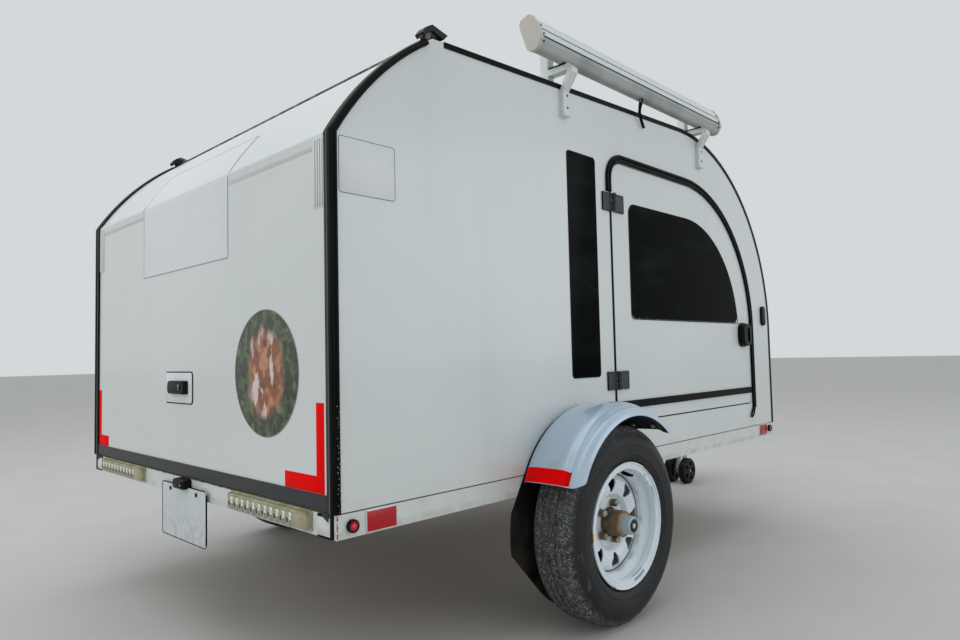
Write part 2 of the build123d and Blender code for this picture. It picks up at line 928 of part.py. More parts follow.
with BuildPart() as markers_amber:
    with BuildSketch(right_wall):
        with Locations((body_length - marker_amber_inset, marker_amber_z)):
            Circle(marker_radius)
    extrude(amount=marker_depth)
    fillet(markers_amber.faces().sort_by(Axis.Y)[0].edges(), marker_round)
    with BuildSketch(right_wall):
        low_x, high_x = (body_length - inset for inset in reflector_amber_insets)
        side_rectangle(low_x, high_x, *reflector_amber_heights)
    extrude(amount=reflector_thickness)
    mirror(about=Plane.XZ)

with BuildPart() as porch_lamps:
    with BuildSketch(right_wall):
        with Locations((body_length - porch_lamp_inset, porch_lamp_z)):
            SlotOverall(porch_lamp_height, porch_lamp_width, rotation=90)
    extrude(amount=porch_lamp_depth)
    fillet(porch_lamps.faces().sort_by(Axis.Y)[0].edges(), porch_lamp_round)
    mirror(about=Plane.XZ)

# Wheels: rim, tyre, and hub with its lug studs and grease cap
axle_y = -half_width - wheel_out
wheel_section = Plane(
    origin=(rear_face + wheel_x, axle_y, tyre_radius), x_dir=(0, -1, 0), z_dir=(-1, 0, 0)
)
wheel_axis = Axis((rear_face + wheel_x, axle_y, tyre_radius), (0, -1, 0))

tyre_outer_half = tuple((out, tyre_radius - drop) for out, drop in tyre_outer_drops)
tyre_inner_half = tuple((out, tyre_radius - drop) for out, drop in tyre_inner_drops)
tyre_half = tyre_outer_half + tyre_bead + tyre_inner_half
tyre_loop = tyre_half + tuple((-out, radius) for out, radius in reversed(tyre_half))

with BuildPart() as wheel_tyre_right:
    with BuildSketch(wheel_section):
        with BuildLine():
            Polyline(*tyre_loop, close=True)
        make_face()
        for place in tread_groove_places:
            with Locations((place, tyre_radius)):
                Rectangle(tread_groove_width, 2 * tread_groove_depth, mode=Mode.SUBTRACT)
    revolve(axis=wheel_axis, revolution_arc=360)

with BuildPart() as wheel_tyre_left:
    mirror(wheel_tyre_right.part, about=Plane.XZ)

with BuildSketch() as wheel_window_sketch:
    with BuildLine():
        Polyline(
            (window_inner, 0),
            (window_outer, window_half_base),
            (window_outer, -window_half_base),
            close=True,
        )
    make_face()
    fillet(wheel_window_sketch.vertices(), window_round)
wheel_window = wheel_window_sketch.sketch

with BuildPart() as wheel_rim_right:
    with BuildSketch(wheel_section):
        with BuildLine():
            Polyline(*rim_barrel)
            offset(amount=rim_wall, side=Side.RIGHT)
        make_face()
    revolve(axis=wheel_axis, revolution_arc=360)
    with BuildSketch(wheel_section):
        with BuildLine():
            Polyline(*rim_disc)
            offset(amount=rim_wall, side=Side.LEFT)
        make_face()
    revolve(axis=wheel_axis, revolution_arc=360)
    with BuildSketch(wheel_plane(0)):
        with PolarLocations(0, window_count, start_angle=window_start_angle):
            add(wheel_window)
    extrude(amount=rim_cut, both=True, mode=Mode.SUBTRACT)
    with BuildSketch(wheel_plane(0)):
        with PolarLocations(lug_circle_radius, lug_count):
            Circle(stud_radius + seat_gap)
    extrude(amount=rim_cut, both=True, mode=Mode.SUBTRACT)

with BuildPart() as wheel_rim_left:
    mirror(wheel_rim_right.part, about=Plane.XZ)

with BuildPart() as wheel_hub_right:
    with BuildSketch(wheel_plane(-hub_inner_length)):
        Circle(hub_inner_radius)
    extrude(amount=hub_inner_length)
    with BuildSketch(wheel_plane(-rim_wall - hub_flange_thickness)):
        Circle(hub_flange_radius)
    extrude(amount=hub_flange_thickness)
    with BuildSketch(wheel_plane(-rim_wall)):
        Circle(hub_radius)
    extrude(amount=rim_wall + hub_length)
    with BuildSketch(wheel_plane(hub_length)):
        Circle(cap_radius)
    extrude(amount=cap_length)
    fillet(wheel_hub_right.faces().sort_by(Axis.Y)[0].edges(), cap_round)
    with BuildSketch(wheel_plane(-rim_wall)):
        with PolarLocations(lug_circle_radius, lug_count):
            Circle(stud_radius)
    extrude(amount=rim_wall + stud_length)
    with BuildSketch(wheel_plane(0)):
        with PolarLocations(lug_circle_radius, lug_count):
            RegularPolygon(lug_radius, 6)
    extrude(amount=lug_length)
    with BuildSketch(wheel_plane(-hub_inner_length)):
        Circle(spindle_radius + spindle_clearance)
    extrude(amount=hub_bore_length, mode=Mode.SUBTRACT)

with BuildPart() as wheel_hub_left:
    mirror(wheel_hub_right.part, about=Plane.XZ)

# Axle beam under the rails, its trailing arms and the wheel spindles
with BuildPart() as axle_beam:
    axle_half_length = half_width - axle_inset
    beam_x = wheel_x + axle_lead
    half_size = axle_beam_size / 2
    box_between(
        beam_x - half_size,
        beam_x + half_size,
        -axle_half_length,
        axle_half_length,
        rail_bottom - axle_beam_size,
        rail_bottom,
    )

with BuildPart() as torsion_arms:
    with BuildSketch(side_plane(-axle_half_length)):
        with Locations((beam_x, rail_bottom - half_size - seam_height)):
            Circle(arm_beam_radius)
        with Locations((wheel_x, tyre_radius - seam_height)):
            Circle(arm_spindle_radius)
        make_hull()
    extrude(amount=arm_thickness)
    with BuildSketch(wheel_plane(spindle_reach)):
        Circle(spindle_radius)
    extrude(amount=-(wheel_out + half_width + spindle_reach - axle_half_length - arm_thickness))
    mirror(about=Plane.XZ)

# Liners: flat plates on the wall behind the tyres, slotted for the spindles
with BuildPart() as wheel_liners:
    with BuildSketch(right_wall) as liner_plan:
        with Locations((wheel_x, tyre_radius - seam_height)):
            Circle(liner_radius)
        side_rectangle(-far, far, -far, liner_bottom_z, mode=Mode.SUBTRACT)
        side_rectangle(-far, far, liner_shoulder_z, far, mode=Mode.SUBTRACT)
        with Locations((fender_x, fender_z)):
            Circle(liner_top_radius)
        make_hull()
        fillet(liner_plan.vertices().group_by(Axis.Y)[0], liner_corner_radius)
        side_rectangle(
            wheel_x - liner_slot_width / 2,
            wheel_x + liner_slot_width / 2,
            liner_bottom_z,
            liner_slot_top_z,
            mode=Mode.SUBTRACT,
        )
    extrude(amount=liner_thickness)
    mirror(about=Plane.XZ)

# Fenders: one bent sheet from the liner out to the rolled lip
start_angle = radians(fender_start_angle)
fender_origin = (rear_face + fender_x, -half_width, seam_height + fender_z)
fender_plane = Plane(
    origin=fender_origin, x_dir=(0, -1, 0), z_dir=(-sin(start_angle), 0, cos(start_angle))
)

with BuildPart() as fender_right:
    with BuildSketch(fender_plane):
        with BuildLine():
            Polyline(*fender_profile)
            ThreePointArc(fender_profile[-1], *fender_shoulder)
            ThreePointArc(fender_shoulder[-1], *fender_lip)
            offset(amount=fender_sheet, side=Side.RIGHT)
        make_face()
        with Locations(fender_shoulder[-1]):
            Circle(fender_rib_radius)
    revolve(axis=Axis(fender_origin, (0, -1, 0)), revolution_arc=fender_end_angle - fender_start_angle)

with BuildPart() as fender_left:
    mirror(fender_right.part, about=Plane.XZ)

# Frame: two rails, four cross members and the two arms of the tongue
rail_y = half_width - rail_inset
rail_front_x = body_length - rail_front_inset

with BuildPart() as chassis_rails:
    for side in (-1, 1):
        with BuildSketch(rear_plane(rail_front_x, side * rail_y)):
            with Locations((0, -floor_thickness - rail_height / 2)):
                Rectangle(rail_width, rail_height)
                Rectangle(rail_width - 2 * tube_wall, rail_height - 2 * tube_wall, mode=Mode.SUBTRACT)
        extrude(amount=rail_front_x - rail_rear_x)

with BuildPart() as cross_members:
    member_half_length = rail_y - rail_width / 2
    for x in (
        rail_rear_x + rail_width / 2,
        cross_member_middle_x,
        nose_x,
        rail_front_x - rail_width / 2,
    ):
        with BuildSketch(side_plane(-member_half_length)):
            with Locations((x, -floor_thickness - rail_height / 2)):
                Rectangle(rail_width, rail_height)
                Rectangle(rail_width - 2 * tube_wall, rail_height - 2 * tube_wall, mode=Mode.SUBTRACT)
        extrude(amount=-2 * member_half_length)

with BuildPart() as tongue_arms:
    tongue_rear_y = rail_y - rail_width
    run_x = tongue_front_x - nose_x
    run_y = tongue_rear_y - tongue_front_y
    arm_plane = Plane(
        origin=(rear_face + nose_x, -tongue_rear_y, rail_bottom - tongue_size / 2),
        x_dir=(-run_y, run_x, 0),
        z_dir=(run_x, run_y, 0),
    )
    with BuildSketch(arm_plane):
        Rectangle(tongue_size, tongue_size)
        Rectangle(tongue_size - 2 * tube_wall, tongue_size - 2 * tube_wall, mode=Mode.SUBTRACT)
    extrude(amount=hypot(run_x, run_y))
    mirror(about=Plane.XZ)

# Coupler: a plate on the tongue, a neck and the socket over the ball
with BuildPart() as coupler:
    plate_points = coupler_plate + tuple((x, -y) for x, y in reversed(coupler_plate))
    socket_foot_height = rail_bottom - socket_foot_drop
    coupler_neck_top = rail_bottom + coupler_neck_height
    coupler_lever_x = coupler_ball_x - coupler_lever_lag
    with BuildSketch(level_plane(tongue_front_x, 0, rail_bottom)):
        add(polygon_face(plate_points))
    extrude(amount=coupler_plate_thickness)
    ball_height = socket_foot_height + socket_length
    box_between(
        coupler_ball_x - coupler_neck_length,
        coupler_ball_x,
        -coupler_neck_half_width,
        coupler_neck_half_width,
        rail_bottom,
        coupler_neck_top,
    )
    neck_edges = coupler.edges().filter_by(Axis.X).group_by(Axis.Z)[-1]
    fillet(neck_edges, coupler_neck_round)
    with BuildSketch(level_plane(coupler_ball_x, 0, socket_foot_height)):
        Circle(socket_outer_radius)
    extrude(amount=ball_height - socket_foot_height)
    with Locations((rear_face + coupler_ball_x, 0, ball_height)):
        Sphere(socket_outer_radius)
        Sphere(ball_radius + socket_clearance, mode=Mode.SUBTRACT)
    with BuildSketch(level_plane(coupler_ball_x, 0, socket_foot_height)):
        Circle(2 * socket_outer_radius)
    extrude(amount=-socket_outer_radius, mode=Mode.SUBTRACT)
    with BuildSketch(level_plane(coupler_ball_x, 0, socket_foot_height)):
        Circle(ball_radius + socket_clearance)
    extrude(amount=socket_length, mode=Mode.SUBTRACT)
    box_between(
        coupler_lever_x - coupler_lever_length / 2,
        coupler_lever_x + coupler_lever_length / 2,
        -coupler_lever_half_width,
        coupler_lever_half_width,
        coupler_neck_top,
        coupler_neck_top + coupler_lever_thickness,
    )

# Parking jack: outer tube with its winding head, inner leg, swivelling yoke and two wheels
jack_x = tongue_front_x - jack_lag
jack_tube_bottom = rail_bottom - jack_tube_drop
jack_tube_top = jack_tube_bottom + jack_tube_length
jack_leg_top = jack_tube_bottom + jack_leg_inside
yoke_top = 2 * jack_wheel_radius + yoke_rise

with BuildPart() as jack_tube:
    with BuildSketch(level_plane(jack_x, 0, jack_tube_bottom)):
        Circle(jack_tube_radius)
    extrude(amount=jack_tube_top - jack_tube_bottom)
    box_between(
        jack_x - jack_plate_half_length,
        jack_x + jack_plate_half_length,
        -jack_plate_half_width,
        jack_plate_half_width,
        rail_bottom,
        rail_bottom + jack_plate_thickness,
    )
    with BuildSketch(level_plane(jack_x, 0, jack_tube_bottom)):
        Circle(jack_tube_radius - jack_tube_wall)
    extrude(amount=jack_tube_top - jack_tube_bottom, mode=Mode.SUBTRACT)
    with BuildSketch(level_plane(jack_x, 0, jack_tube_top)):
        Circle(jack_head_radius)
    extrude(amount=jack_head_height)
    crank_z = jack_tube_top + jack_head_height / 2 - seam_height
    with BuildSketch(side_plane(0)):
        with Locations((jack_x, crank_z)):
            Circle(jack_crank_radius)
    extrude(amount=jack_crank_reach)
    with BuildSketch(side_plane(-jack_crank_reach)):
        with Locations((jack_x, crank_z - jack_crank_length / 2)):
            SlotOverall(jack_crank_length + 2 * jack_crank_radius, 2 * jack_crank_radius, rotation=90)
    extrude(amount=-jack_crank_radius)
    with BuildSketch(side_plane(-jack_crank_reach)):
        with Locations((jack_x, crank_z - jack_crank_length)):
            Circle(jack_grip_radius)
    extrude(amount=jack_grip_length)

with BuildPart() as jack_leg:
    leg_bottom = yoke_top + yoke_gap
    with BuildSketch(level_plane(jack_x, 0, leg_bottom)):
        Circle(jack_leg_radius)
    extrude(amount=jack_leg_top - leg_bottom)
    with BuildSketch(level_plane(jack_x, 0, leg_bottom + jack_leg_plug)):
        Circle(jack_leg_radius - jack_leg_wall)
    extrude(amount=jack_leg_top - leg_bottom - jack_leg_plug, mode=Mode.SUBTRACT)
    with BuildSketch(level_plane(jack_x, 0, leg_bottom)):
        Circle(yoke_pin_radius + yoke_pin_clearance)
    extrude(amount=jack_leg_plug, mode=Mode.SUBTRACT)

with BuildPart() as jack_yoke:
    jack_axle_x = jack_x - jack_trail
    jack_axle_z = jack_wheel_radius - seam_height
    yoke_under = yoke_top - yoke_plate_thickness
    with BuildSketch(level_plane(jack_x, 0, yoke_under)):
        Circle(yoke_plate_radius)
    extrude(amount=yoke_plate_thickness)
    with BuildSketch(level_plane(jack_x, 0, yoke_top)):
        Circle(yoke_pin_radius)
    extrude(amount=yoke_pin_length)
    for side in (-1, 1):
        with BuildSketch(side_plane(side * (yoke_side_inner + yoke_side_outer) / 2)):
            with Locations((jack_axle_x, jack_axle_z)):
                Circle(yoke_axle_radius)
            with Locations((jack_x, yoke_under - seam_height)):
                Rectangle(2 * yoke_side_half_length, yoke_side_foot)
            make_hull()
        extrude(amount=(yoke_side_outer - yoke_side_inner) / 2, both=True)
    with BuildSketch(side_plane(0)):
        with Locations((jack_axle_x, jack_axle_z)):
            Circle(jack_axle_radius)
    extrude(amount=jack_axle_half_length, both=True)

with BuildPart() as jack_wheels:
    for side in (-1, 1):
        with BuildSketch(side_plane(side * jack_wheel_y)):
            with Locations((jack_axle_x, jack_axle_z)):
                Circle(jack_wheel_radius)
                Circle(jack_axle_radius + jack_axle_clearance, mode=Mode.SUBTRACT)
                with PolarLocations(jack_wheel_hole_circle, jack_wheel_holes):
                    Circle(jack_wheel_hole_radius, mode=Mode.SUBTRACT)
        extrude(amount=jack_wheel_half_width, both=True)
    rim_edges = jack_wheels.edges().filter_by(GeomType.CIRCLE).group_by(SortBy.LENGTH)[-1]
    fillet(rim_edges, jack_wheel_round)

# Awning case with its end caps, on two brackets from wall and roof
with BuildSketch() as awning_sketch:
    with BuildLine():
        Polyline(*awning_section, close=True)
    make_face()
    fillet(awning_sketch.vertices(), awning_round)
awning_face = awning_sketch.sketch
awning_front_x = nose_x + awning_front_lead

with BuildPart() as awning_case:
    case_front_x = awning_front_x - awning_cap_thickness
    with BuildSketch(rear_plane(case_front_x, -half_width)):
        add(awning_face)
        with Locations(*awning_grooves):
            Circle(awning_groove_radius, mode=Mode.SUBTRACT)
    extrude(amount=awning_front_x - awning_rear_x - 2 * awning_cap_thickness)

with BuildPart() as awning_caps:
    for x in (awning_front_x, awning_rear_x + awning_cap_thickness):
        with BuildSketch(rear_plane(x, -half_width)):
            add(offset(awning_face, amount=awning_cap_grow, mode=Mode.PRIVATE))
        extrude(amount=awning_cap_thickness)

with BuildPart() as awning_brackets:
    for x in (bracket_rear_x, nose_x + bracket_front_lead):
        with BuildSketch(rear_plane(x + bracket_width / 2, -half_width)):
            add(polygon_face(bracket_section))
        extrude(amount=bracket_width)
    add(body_block, mode=Mode.SUBTRACT)

pieces = {
    "floor_panel": floor_panel,
    "floor_skirt": floor_skirt,
    "side_wall_right": side_wall_right,
    "side_wall_left": side_wall_left,
    "strip_windows": strip_windows,
    "roof_panel": roof_panel,
    "roof_trims": roof_trims,
    "rear_trims": rear_trims,
    "bulkhead": bulkhead,
    "galley_counter": galley_counter,
    "hatch_panel": hatch_panel,
    "hatch_rail": hatch_rail,
    "hatch_latch": hatch_latch,
    "ridge_cap_roof": ridge_cap_roof,
    "ridge_cap_hatch": ridge_cap_hatch,
    "door_right": door_right,
    "door_left": door_left,
    "door_glass_right": door_glass_right,
    "door_glass_left": door_glass_left,
    "door_rail_right": door_rail_right,
    "door_rail_left": door_rail_left,
    "door_handle_right": door_handle_right,
    "door_handle_left": door_handle_left,
    "hinge_leaves_wall": hinge_leaves_wall,
    "hinge_leaves_right": hinge_leaves_right,
    "hinge_leaves_left": hinge_leaves_left,
    "door_seals": door_seals,
    "tail_lamps": tail_lamps,
    "licence_plate": licence_plate,
    "plate_lamp": plate_lamp,
    "markers_red": markers_red,
    "markers_amber": markers_amber,
    "porch_lamps": porch_lamps,
    "wheel_tyre_right": wheel_tyre_right,
    "wheel_tyre_left": wheel_tyre_left,
    "wheel_rim_right": wheel_rim_right,
    "wheel_rim_left": wheel_rim_left,
    "wheel_hub_right": wheel_hub_right,
    "wheel_hub_left": wheel_hub_left,
    "axle_beam": axle_beam,
    "torsion_arms": torsion_arms,
    "wheel_liners": wheel_liners,
    "fender_right": fender_right,
    "fender_left": fender_left,
    "chassis_rails": chassis_rails,
    "cross_members": cross_members,
    "tongue_arms": tongue_arms,
    "coupler": coupler,
    "jack_tube": jack_tube,
    "jack_leg": jack_leg,
    "jack_yoke": jack_yoke,
    "jack_wheels": jack_wheels,
    "awning_case": awning_case,
    "awning_caps": awning_caps,
    "awning_brackets": awning_brackets,
}

for name, piece in pieces.items():
    piece.part.label = name
    export_step(piece.part, f"parts/{name}.step")
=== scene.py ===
from math import atan2, cos, degrees, hypot, pi, radians, sin

import bmesh
import bpy
from mathutils import Matrix, Vector, noise


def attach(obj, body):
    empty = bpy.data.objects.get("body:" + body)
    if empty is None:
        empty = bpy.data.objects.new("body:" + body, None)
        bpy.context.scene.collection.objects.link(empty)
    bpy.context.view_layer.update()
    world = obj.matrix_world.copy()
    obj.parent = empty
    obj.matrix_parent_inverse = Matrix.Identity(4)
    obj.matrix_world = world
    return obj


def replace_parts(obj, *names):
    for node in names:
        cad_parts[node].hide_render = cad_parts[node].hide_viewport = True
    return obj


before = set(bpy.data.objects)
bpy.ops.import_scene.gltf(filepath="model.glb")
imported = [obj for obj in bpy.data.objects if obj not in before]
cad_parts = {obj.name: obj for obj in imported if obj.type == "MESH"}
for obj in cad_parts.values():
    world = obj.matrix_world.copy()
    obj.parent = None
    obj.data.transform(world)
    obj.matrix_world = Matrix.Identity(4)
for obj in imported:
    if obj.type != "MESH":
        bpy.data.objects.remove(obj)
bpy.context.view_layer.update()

# Places are worked out in millimetres: u forward from the rear face, v up from the seam
# under the side walls, out away from the surface. The part's frame is in metres.
REAR = 1716.5  # the rear face, behind the part's origin
HALF = 805.0  # a side wall's face, from the middle plane
SEAM = 456.0  # the seam's height over the ground
CREASE = 858.0  # the height over the seam where the hatch starts to bend
HATCH_ARC = (771.0, 393.7, 900.0)  # middle u, middle v and radius of the bend
NOSE = (1640.0, 437.0, 787.0)  # middle u, middle v and radius of the round front
DOOR = (1118.0, 107.0, 560.0)  # rear edge, foot and the radius of its round front
AXLE = (903.0, -166.0)
WHEEL_OUT = 95.0  # the wheel's middle, out from the wall
FENDER = (900.0, -130.0)  # the middle of the fender's arch
AXLE_X, AXLE_Z = (AXLE[0] - REAR) / 1000, (AXLE[1] + SEAM) / 1000
SEAM_Z = SEAM / 1000


def right(u, v, out=0.0):
    """A point over the right wall."""
    return (u - REAR, -HALF - out, v + SEAM)


def left(u, v, out=0.0):
    """A point over the left wall."""
    return (u - REAR, HALF + out, v + SEAM)


def tail(u, v, out=0.0):
    """A point behind the rear face, u from the right wall to the left."""
    return (-REAR - out, u - HALF, v + SEAM)


def hatch_skin(u, v, out=0.0):
    """A point over the hatch, v along its outline from the seam, u from the right wall."""
    if v <= CREASE:
        return tail(u, v, out)
    cx, cz, radius = HATCH_ARC
    angle = atan2(CREASE - cz, -cx) - (v - CREASE) / radius
    reach = radius + out
    return (cx + reach * cos(angle) - REAR, u - HALF, cz + reach * sin(angle) + SEAM)


def linear(code):
    """Linear colour of an sRGB hex code."""
    parts = [int(code[i:i + 2], 16) / 255 for i in (1, 3, 5)]
    return [c / 12.92 if c <= 0.04045 else ((c + 0.055) / 1.055) ** 2.4 for c in parts] + [1.0]


def add_node(tree, kind, inputs=(), **settings):
    """A shader node with its settings, its inputs given as sockets or values."""
    node = tree.nodes.new("ShaderNode" + kind)
    for name, value in settings.items():
        setattr(node, name, value)
    for name, value in dict(inputs).items():
        if isinstance(value, bpy.types.NodeSocket):
            tree.links.new(value, node.inputs[name])
        else:
            node.inputs[name].default_value = value
    return node


class Paint:
    """A node material built in layers over a base colour, in metres of the part's frame."""

    def __init__(self, name, colour, rough, metal=0.0, **sockets):
        self.material = bpy.data.materials.new(name)
        self.material.use_nodes = True
        self.tree = self.material.node_tree
        self.shader = self.tree.nodes["Principled BSDF"]
        self.shader.inputs["Metallic"].default_value = metal
        for socket, value in sockets.items():
            self.shader.inputs[socket.replace("_", " ")].default_value = value
        self.place = self.node("TexCoord").outputs["Object"]
        self.colour = linear(colour)
        self.rough = rough
        self.normal = None

    def node(self, kind, inputs=(), **settings):
        return add_node(self.tree, kind, inputs, **settings)

    def combine(self, a, b, operation="ADD"):
        return self.node("Math", {0: a, 1: b}, operation=operation).outputs[0]

    def times(self, a, b):
        return self.combine(a, b, "MULTIPLY")

    def mix(self, amount, a, b):
        b = linear(b) if isinstance(b, str) else b
        return self.node("Mix", {"Factor": amount, 6: a, 7: b}, data_type="RGBA").outputs[2]

    def stretched(self, stretch):
        return self.node("Mapping", {"Vector": self.place, "Scale": stretch}).outputs[0]

    # Patterns are given by their real size in millimetres. Grain, flake and grit, of under 4 mm here,
    # are drawn several times coarser than the real ones, as fine as still shows at this distance.
    def noise(self, size, low=0.0, high=1.0, detail=4.0, stretch=(1, 1, 1)):
        """Clouds of a size as a mask that rises from low to high."""
        inputs = {"Vector": self.stretched(stretch), "Scale": 1000.0 / size, "Detail": detail}
        return self.ease(self.node("TexNoise", inputs).outputs[0], low, high)

    def cells(self, size, low=0.0, high=1.0, feature="F1"):
        """Distance from points scattered a size apart, as a mask."""
        inputs = {"Vector": self.place, "Scale": 1000.0 / size}
        return self.ease(self.node("TexVoronoi", inputs, feature=feature).outputs["Distance"], low, high)

    def waves(self, pitch, way):
        """Ribs a pitch apart along an axis. The node draws ten of them in a length of pi at scale 1."""
        inputs = {"Vector": self.place, "Scale": 100.0 * pi / pitch}
        return self.node("TexWave", inputs, bands_direction=way).outputs["Fac"]

    def ease(self, value, low, high):
        """A mask that rises smoothly from 0 at low to 1 at high."""
        inputs = {"Value": value, "From Min": low, "From Max": high}
        return self.node("MapRange", inputs, interpolation_type="SMOOTHSTEP").outputs[0]

    def axis(self, index):
        return self.node("SeparateXYZ", {0: self.place}).outputs[index]

    def below(self, index, edge, soft):
        """A mask that is 1 below an edge along an axis and fades over soft."""
        return self.ease(self.axis(index), edge + soft, edge)

    def above(self, index, edge, soft):
        return self.ease(self.axis(index), edge - soft, edge)

    def aside(self, low, high):
        """A mask of the distance from the part's middle plane."""
        away = self.node("Math", {0: self.axis(1)}, operation="ABSOLUTE").outputs[0]
        return self.ease(away, low, high)

    def radius(self, low, high, x=AXLE_X, z=AXLE_Z):
        """A mask of the distance from a line along Y, which is the axle unless given."""
        away = self.node("VectorMath", {0: self.place, 1: (x, 0, z)}, operation="SUBTRACT").outputs[0]
        flat = self.node("VectorMath", {0: away, 1: (1, 0, 1)}, operation="MULTIPLY").outputs[0]
        length = self.node("VectorMath", {0: flat}, operation="LENGTH").outputs["Value"]
        return self.ease(length, low, high)

    def over(self, mask, colour, amount=1.0, rough=None):
        """Lays a colour, and a roughness, over the layers so far where the mask is."""
        mask = self.times(mask, amount)
        self.colour = self.mix(mask, self.colour, colour)
        if rough is not None:
            kept = self.times(self.combine(1.0, mask, "SUBTRACT"), self.rough)
            self.rough = self.combine(kept, self.times(mask, rough))

    def relief(self, height, distance, strength=1.0):
        """Raises the surface by a height mask times a distance in metres."""
        inputs = {"Height": height, "Distance": distance, "Strength": strength}
        if self.normal is not None:
            inputs["Normal"] = self.normal
        self.normal = self.node("Bump", inputs).outputs[0]

    def done(self):
        """The material, with its last colour, roughness and relief joined to its shader."""
        layers = ((self.colour, "Base Color"), (self.rough, "Roughness"), (self.normal, "Normal"))
        for value, socket in layers:
            if isinstance(value, bpy.types.NodeSocket):
                self.tree.links.new(value, self.shader.inputs[socket])
            elif value is not None:
                self.shader.inputs[socket].default_value = value
        return self.material


def panel_paint(name, colour, coat=0.3):
    """Gelcoat from a smooth mould: slow waves in its gloss, faint rain marks, dirt just over the seam."""
    paint = Paint(name, colour, 0.3, Coat_Weight=coat, Coat_Roughness=0.1)
    paint.over(paint.noise(769.2, 0.35, 0.7), "#CBD1D1", 0.4)
    paint.over(paint.noise(71.43, 0.52, 0.78, stretch=(1, 1, 0.06)), "#B3B5AD", 0.08, 0.4)
    foot = paint.times(paint.below(2, SEAM_Z + 0.004, 0.05), paint.noise(62.5, 0.3, 0.7))
    paint.over(foot, "#A9A38F", 0.14, 0.5)
    skirt = paint.times(paint.below(2, SEAM_Z - 0.046, 0.014), paint.noise(45.45, 0.3, 0.7))
    paint.over(skirt, "#9C947C", 0.4, 0.6)
    spots = paint.times(paint.cells(20.83, 0.07, 0.03), paint.noise(250.0, 0.5, 0.62))
    paint.over(spots, "#9A9686", 0.4, 0.6)
    paint.relief(paint.noise(454.5, 0.0, 1.0, detail=1.0), 0.003, 0.3)
    paint.relief(paint.noise(2.381, 0.2, 0.8, detail=2.0), 0.00005, 0.4)
    return paint.done()


def rubber(name, colour, rough=0.38):
    """Extruded black rubber or vinyl: fine grain, a film of dust, a few paler scuffs."""
    paint = Paint(name, colour, rough, Specular_IOR_Level=0.07)
    paint.over(paint.noise(142.9, 0.45, 0.8), "#15181A", 0.5, 0.5)
    paint.over(paint.noise(3.846, 0.66, 0.82, stretch=(1, 1, 0.2)), "#50514D", 0.22, 0.7)
    specks = paint.times(paint.cells(8.333, 0.08, 0.02), paint.noise(83.33, 0.54, 0.66))
    paint.over(specks, "#8F908A", 0.6, 0.7)
    paint.relief(paint.noise(1.429, 0.3, 0.7), 0.0001, 0.5)
    return paint.done()


def boot_rubber():
    """Moulded rubber of the ridge hinge, old and dull, with pale dirt packed under its ends."""
    paint = Paint("moulded hinge rubber", "#0F1112", 0.5, Specular_IOR_Level=0.3)
    under = paint.times(paint.aside(0.801, 0.7995), paint.noise(33.33, 0.45, 0.6))
    paint.over(under, "#8C857A", 0.85, 0.95)
    paint.over(paint.noise(16.67, 0.55, 0.7), "#2F2F2C", 0.5, 0.75)
    paint.relief(paint.noise(6.25, 0.3, 0.7), 0.0006, 0.7)
    return paint.done()


def frame_paint():
    """Black paint brushed on steel, with rust that creeps out of scattered chips, and road dust."""
    paint = Paint("brushed black frame paint", "#1B1D1F", 0.4, Specular_IOR_Level=0.35)
    paint.over(paint.noise(166.7, 0.4, 0.7), "#3A3630", 0.4, 0.7)
    rust = paint.times(paint.noise(41.67, 0.56, 0.68), paint.noise(333.3, 0.4, 0.6))
    paint.over(rust, "#6A3B1E", 0.8, 0.9)
    paint.relief(paint.noise(6.25, 0.3, 0.7), 0.0003, 0.5)
    paint.relief(rust, 0.0004, 0.5)
    return paint.done()


def zinc():
    """Hot dipped steel: pale spangle cells of about 10 mm, a dull film and brown bloom."""
    paint = Paint("galvanised steel", "#9DA3A5", 0.42, 0.75)
    spangle = paint.node("TexVoronoi", {"Vector": paint.place, "Scale": 1000.0 / 10.53}).outputs["Color"]
    tone = paint.node("RGBToBW", {0: spangle}).outputs[0]
    paint.over(paint.ease(tone, 0.2, 0.9), "#C4C9CA", 0.5, 0.34)
    paint.over(paint.noise(90.91, 0.5, 0.75), "#7C7F7C", 0.6, 0.6)
    paint.over(paint.noise(25.0, 0.62, 0.74), "#7A4A26", 0.5, 0.85)
    paint.relief(paint.noise(4.545, 0.2, 0.8), 0.0002, 0.4)
    return paint.done()


def fender_paint():
    """Silver enamel sprayed on rolled sheet: fine flake, slow waves, dust low down, a few chips."""
    paint = Paint("sprayed silver fender enamel", "#B4C8DA", 0.28, 0.2, Coat_Weight=0.4, Coat_Roughness=0.12)
    paint.over(paint.noise(1.111, 0.4, 0.7, detail=1.0), "#C6D0D9", 0.3)
    paint.over(paint.noise(250.0, 0.4, 0.7), "#A2B6C8", 0.3, 0.36)
    low = paint.times(paint.below(2, SEAM_Z - 0.01, 0.16), paint.noise(50.0, 0.45, 0.7))
    paint.over(low, "#8B8779", 0.3, 0.6)
    chips = paint.times(paint.cells(14.29, 0.04, 0.02), paint.noise(166.7, 0.5, 0.6))
    paint.over(chips, "#DDE2E4", 0.6)
    paint.relief(paint.noise(333.3, 0.0, 1.0, detail=1.0), 0.002, 0.25)
    return paint.done()


def liner_sheet(name):
    """Black moulded or sprayed plastic with rain streaks and a brown dirty foot."""
    paint = Paint(name, "#0E0F10", 0.42, Specular_IOR_Level=0.35)
    paint.over(paint.noise(38.46, 0.5, 0.8, stretch=(1, 1, 0.1)), "#262B30", 0.7, 0.7)
    low = paint.times(paint.below(2, SEAM_Z - 0.16, 0.13), paint.noise(66.67, 0.3, 0.65))
    paint.over(low, "#4E4335", 0.3, 0.9)
    grit = paint.times(paint.cells(3.846, 0.16, 0.08), paint.noise(125.0, 0.5, 0.62))
    paint.over(grit, "#7E766A", 0.5, 0.9)
    paint.relief(paint.noise(3.333, 0.3, 0.7), 0.0002, 0.5)
    return paint.done()


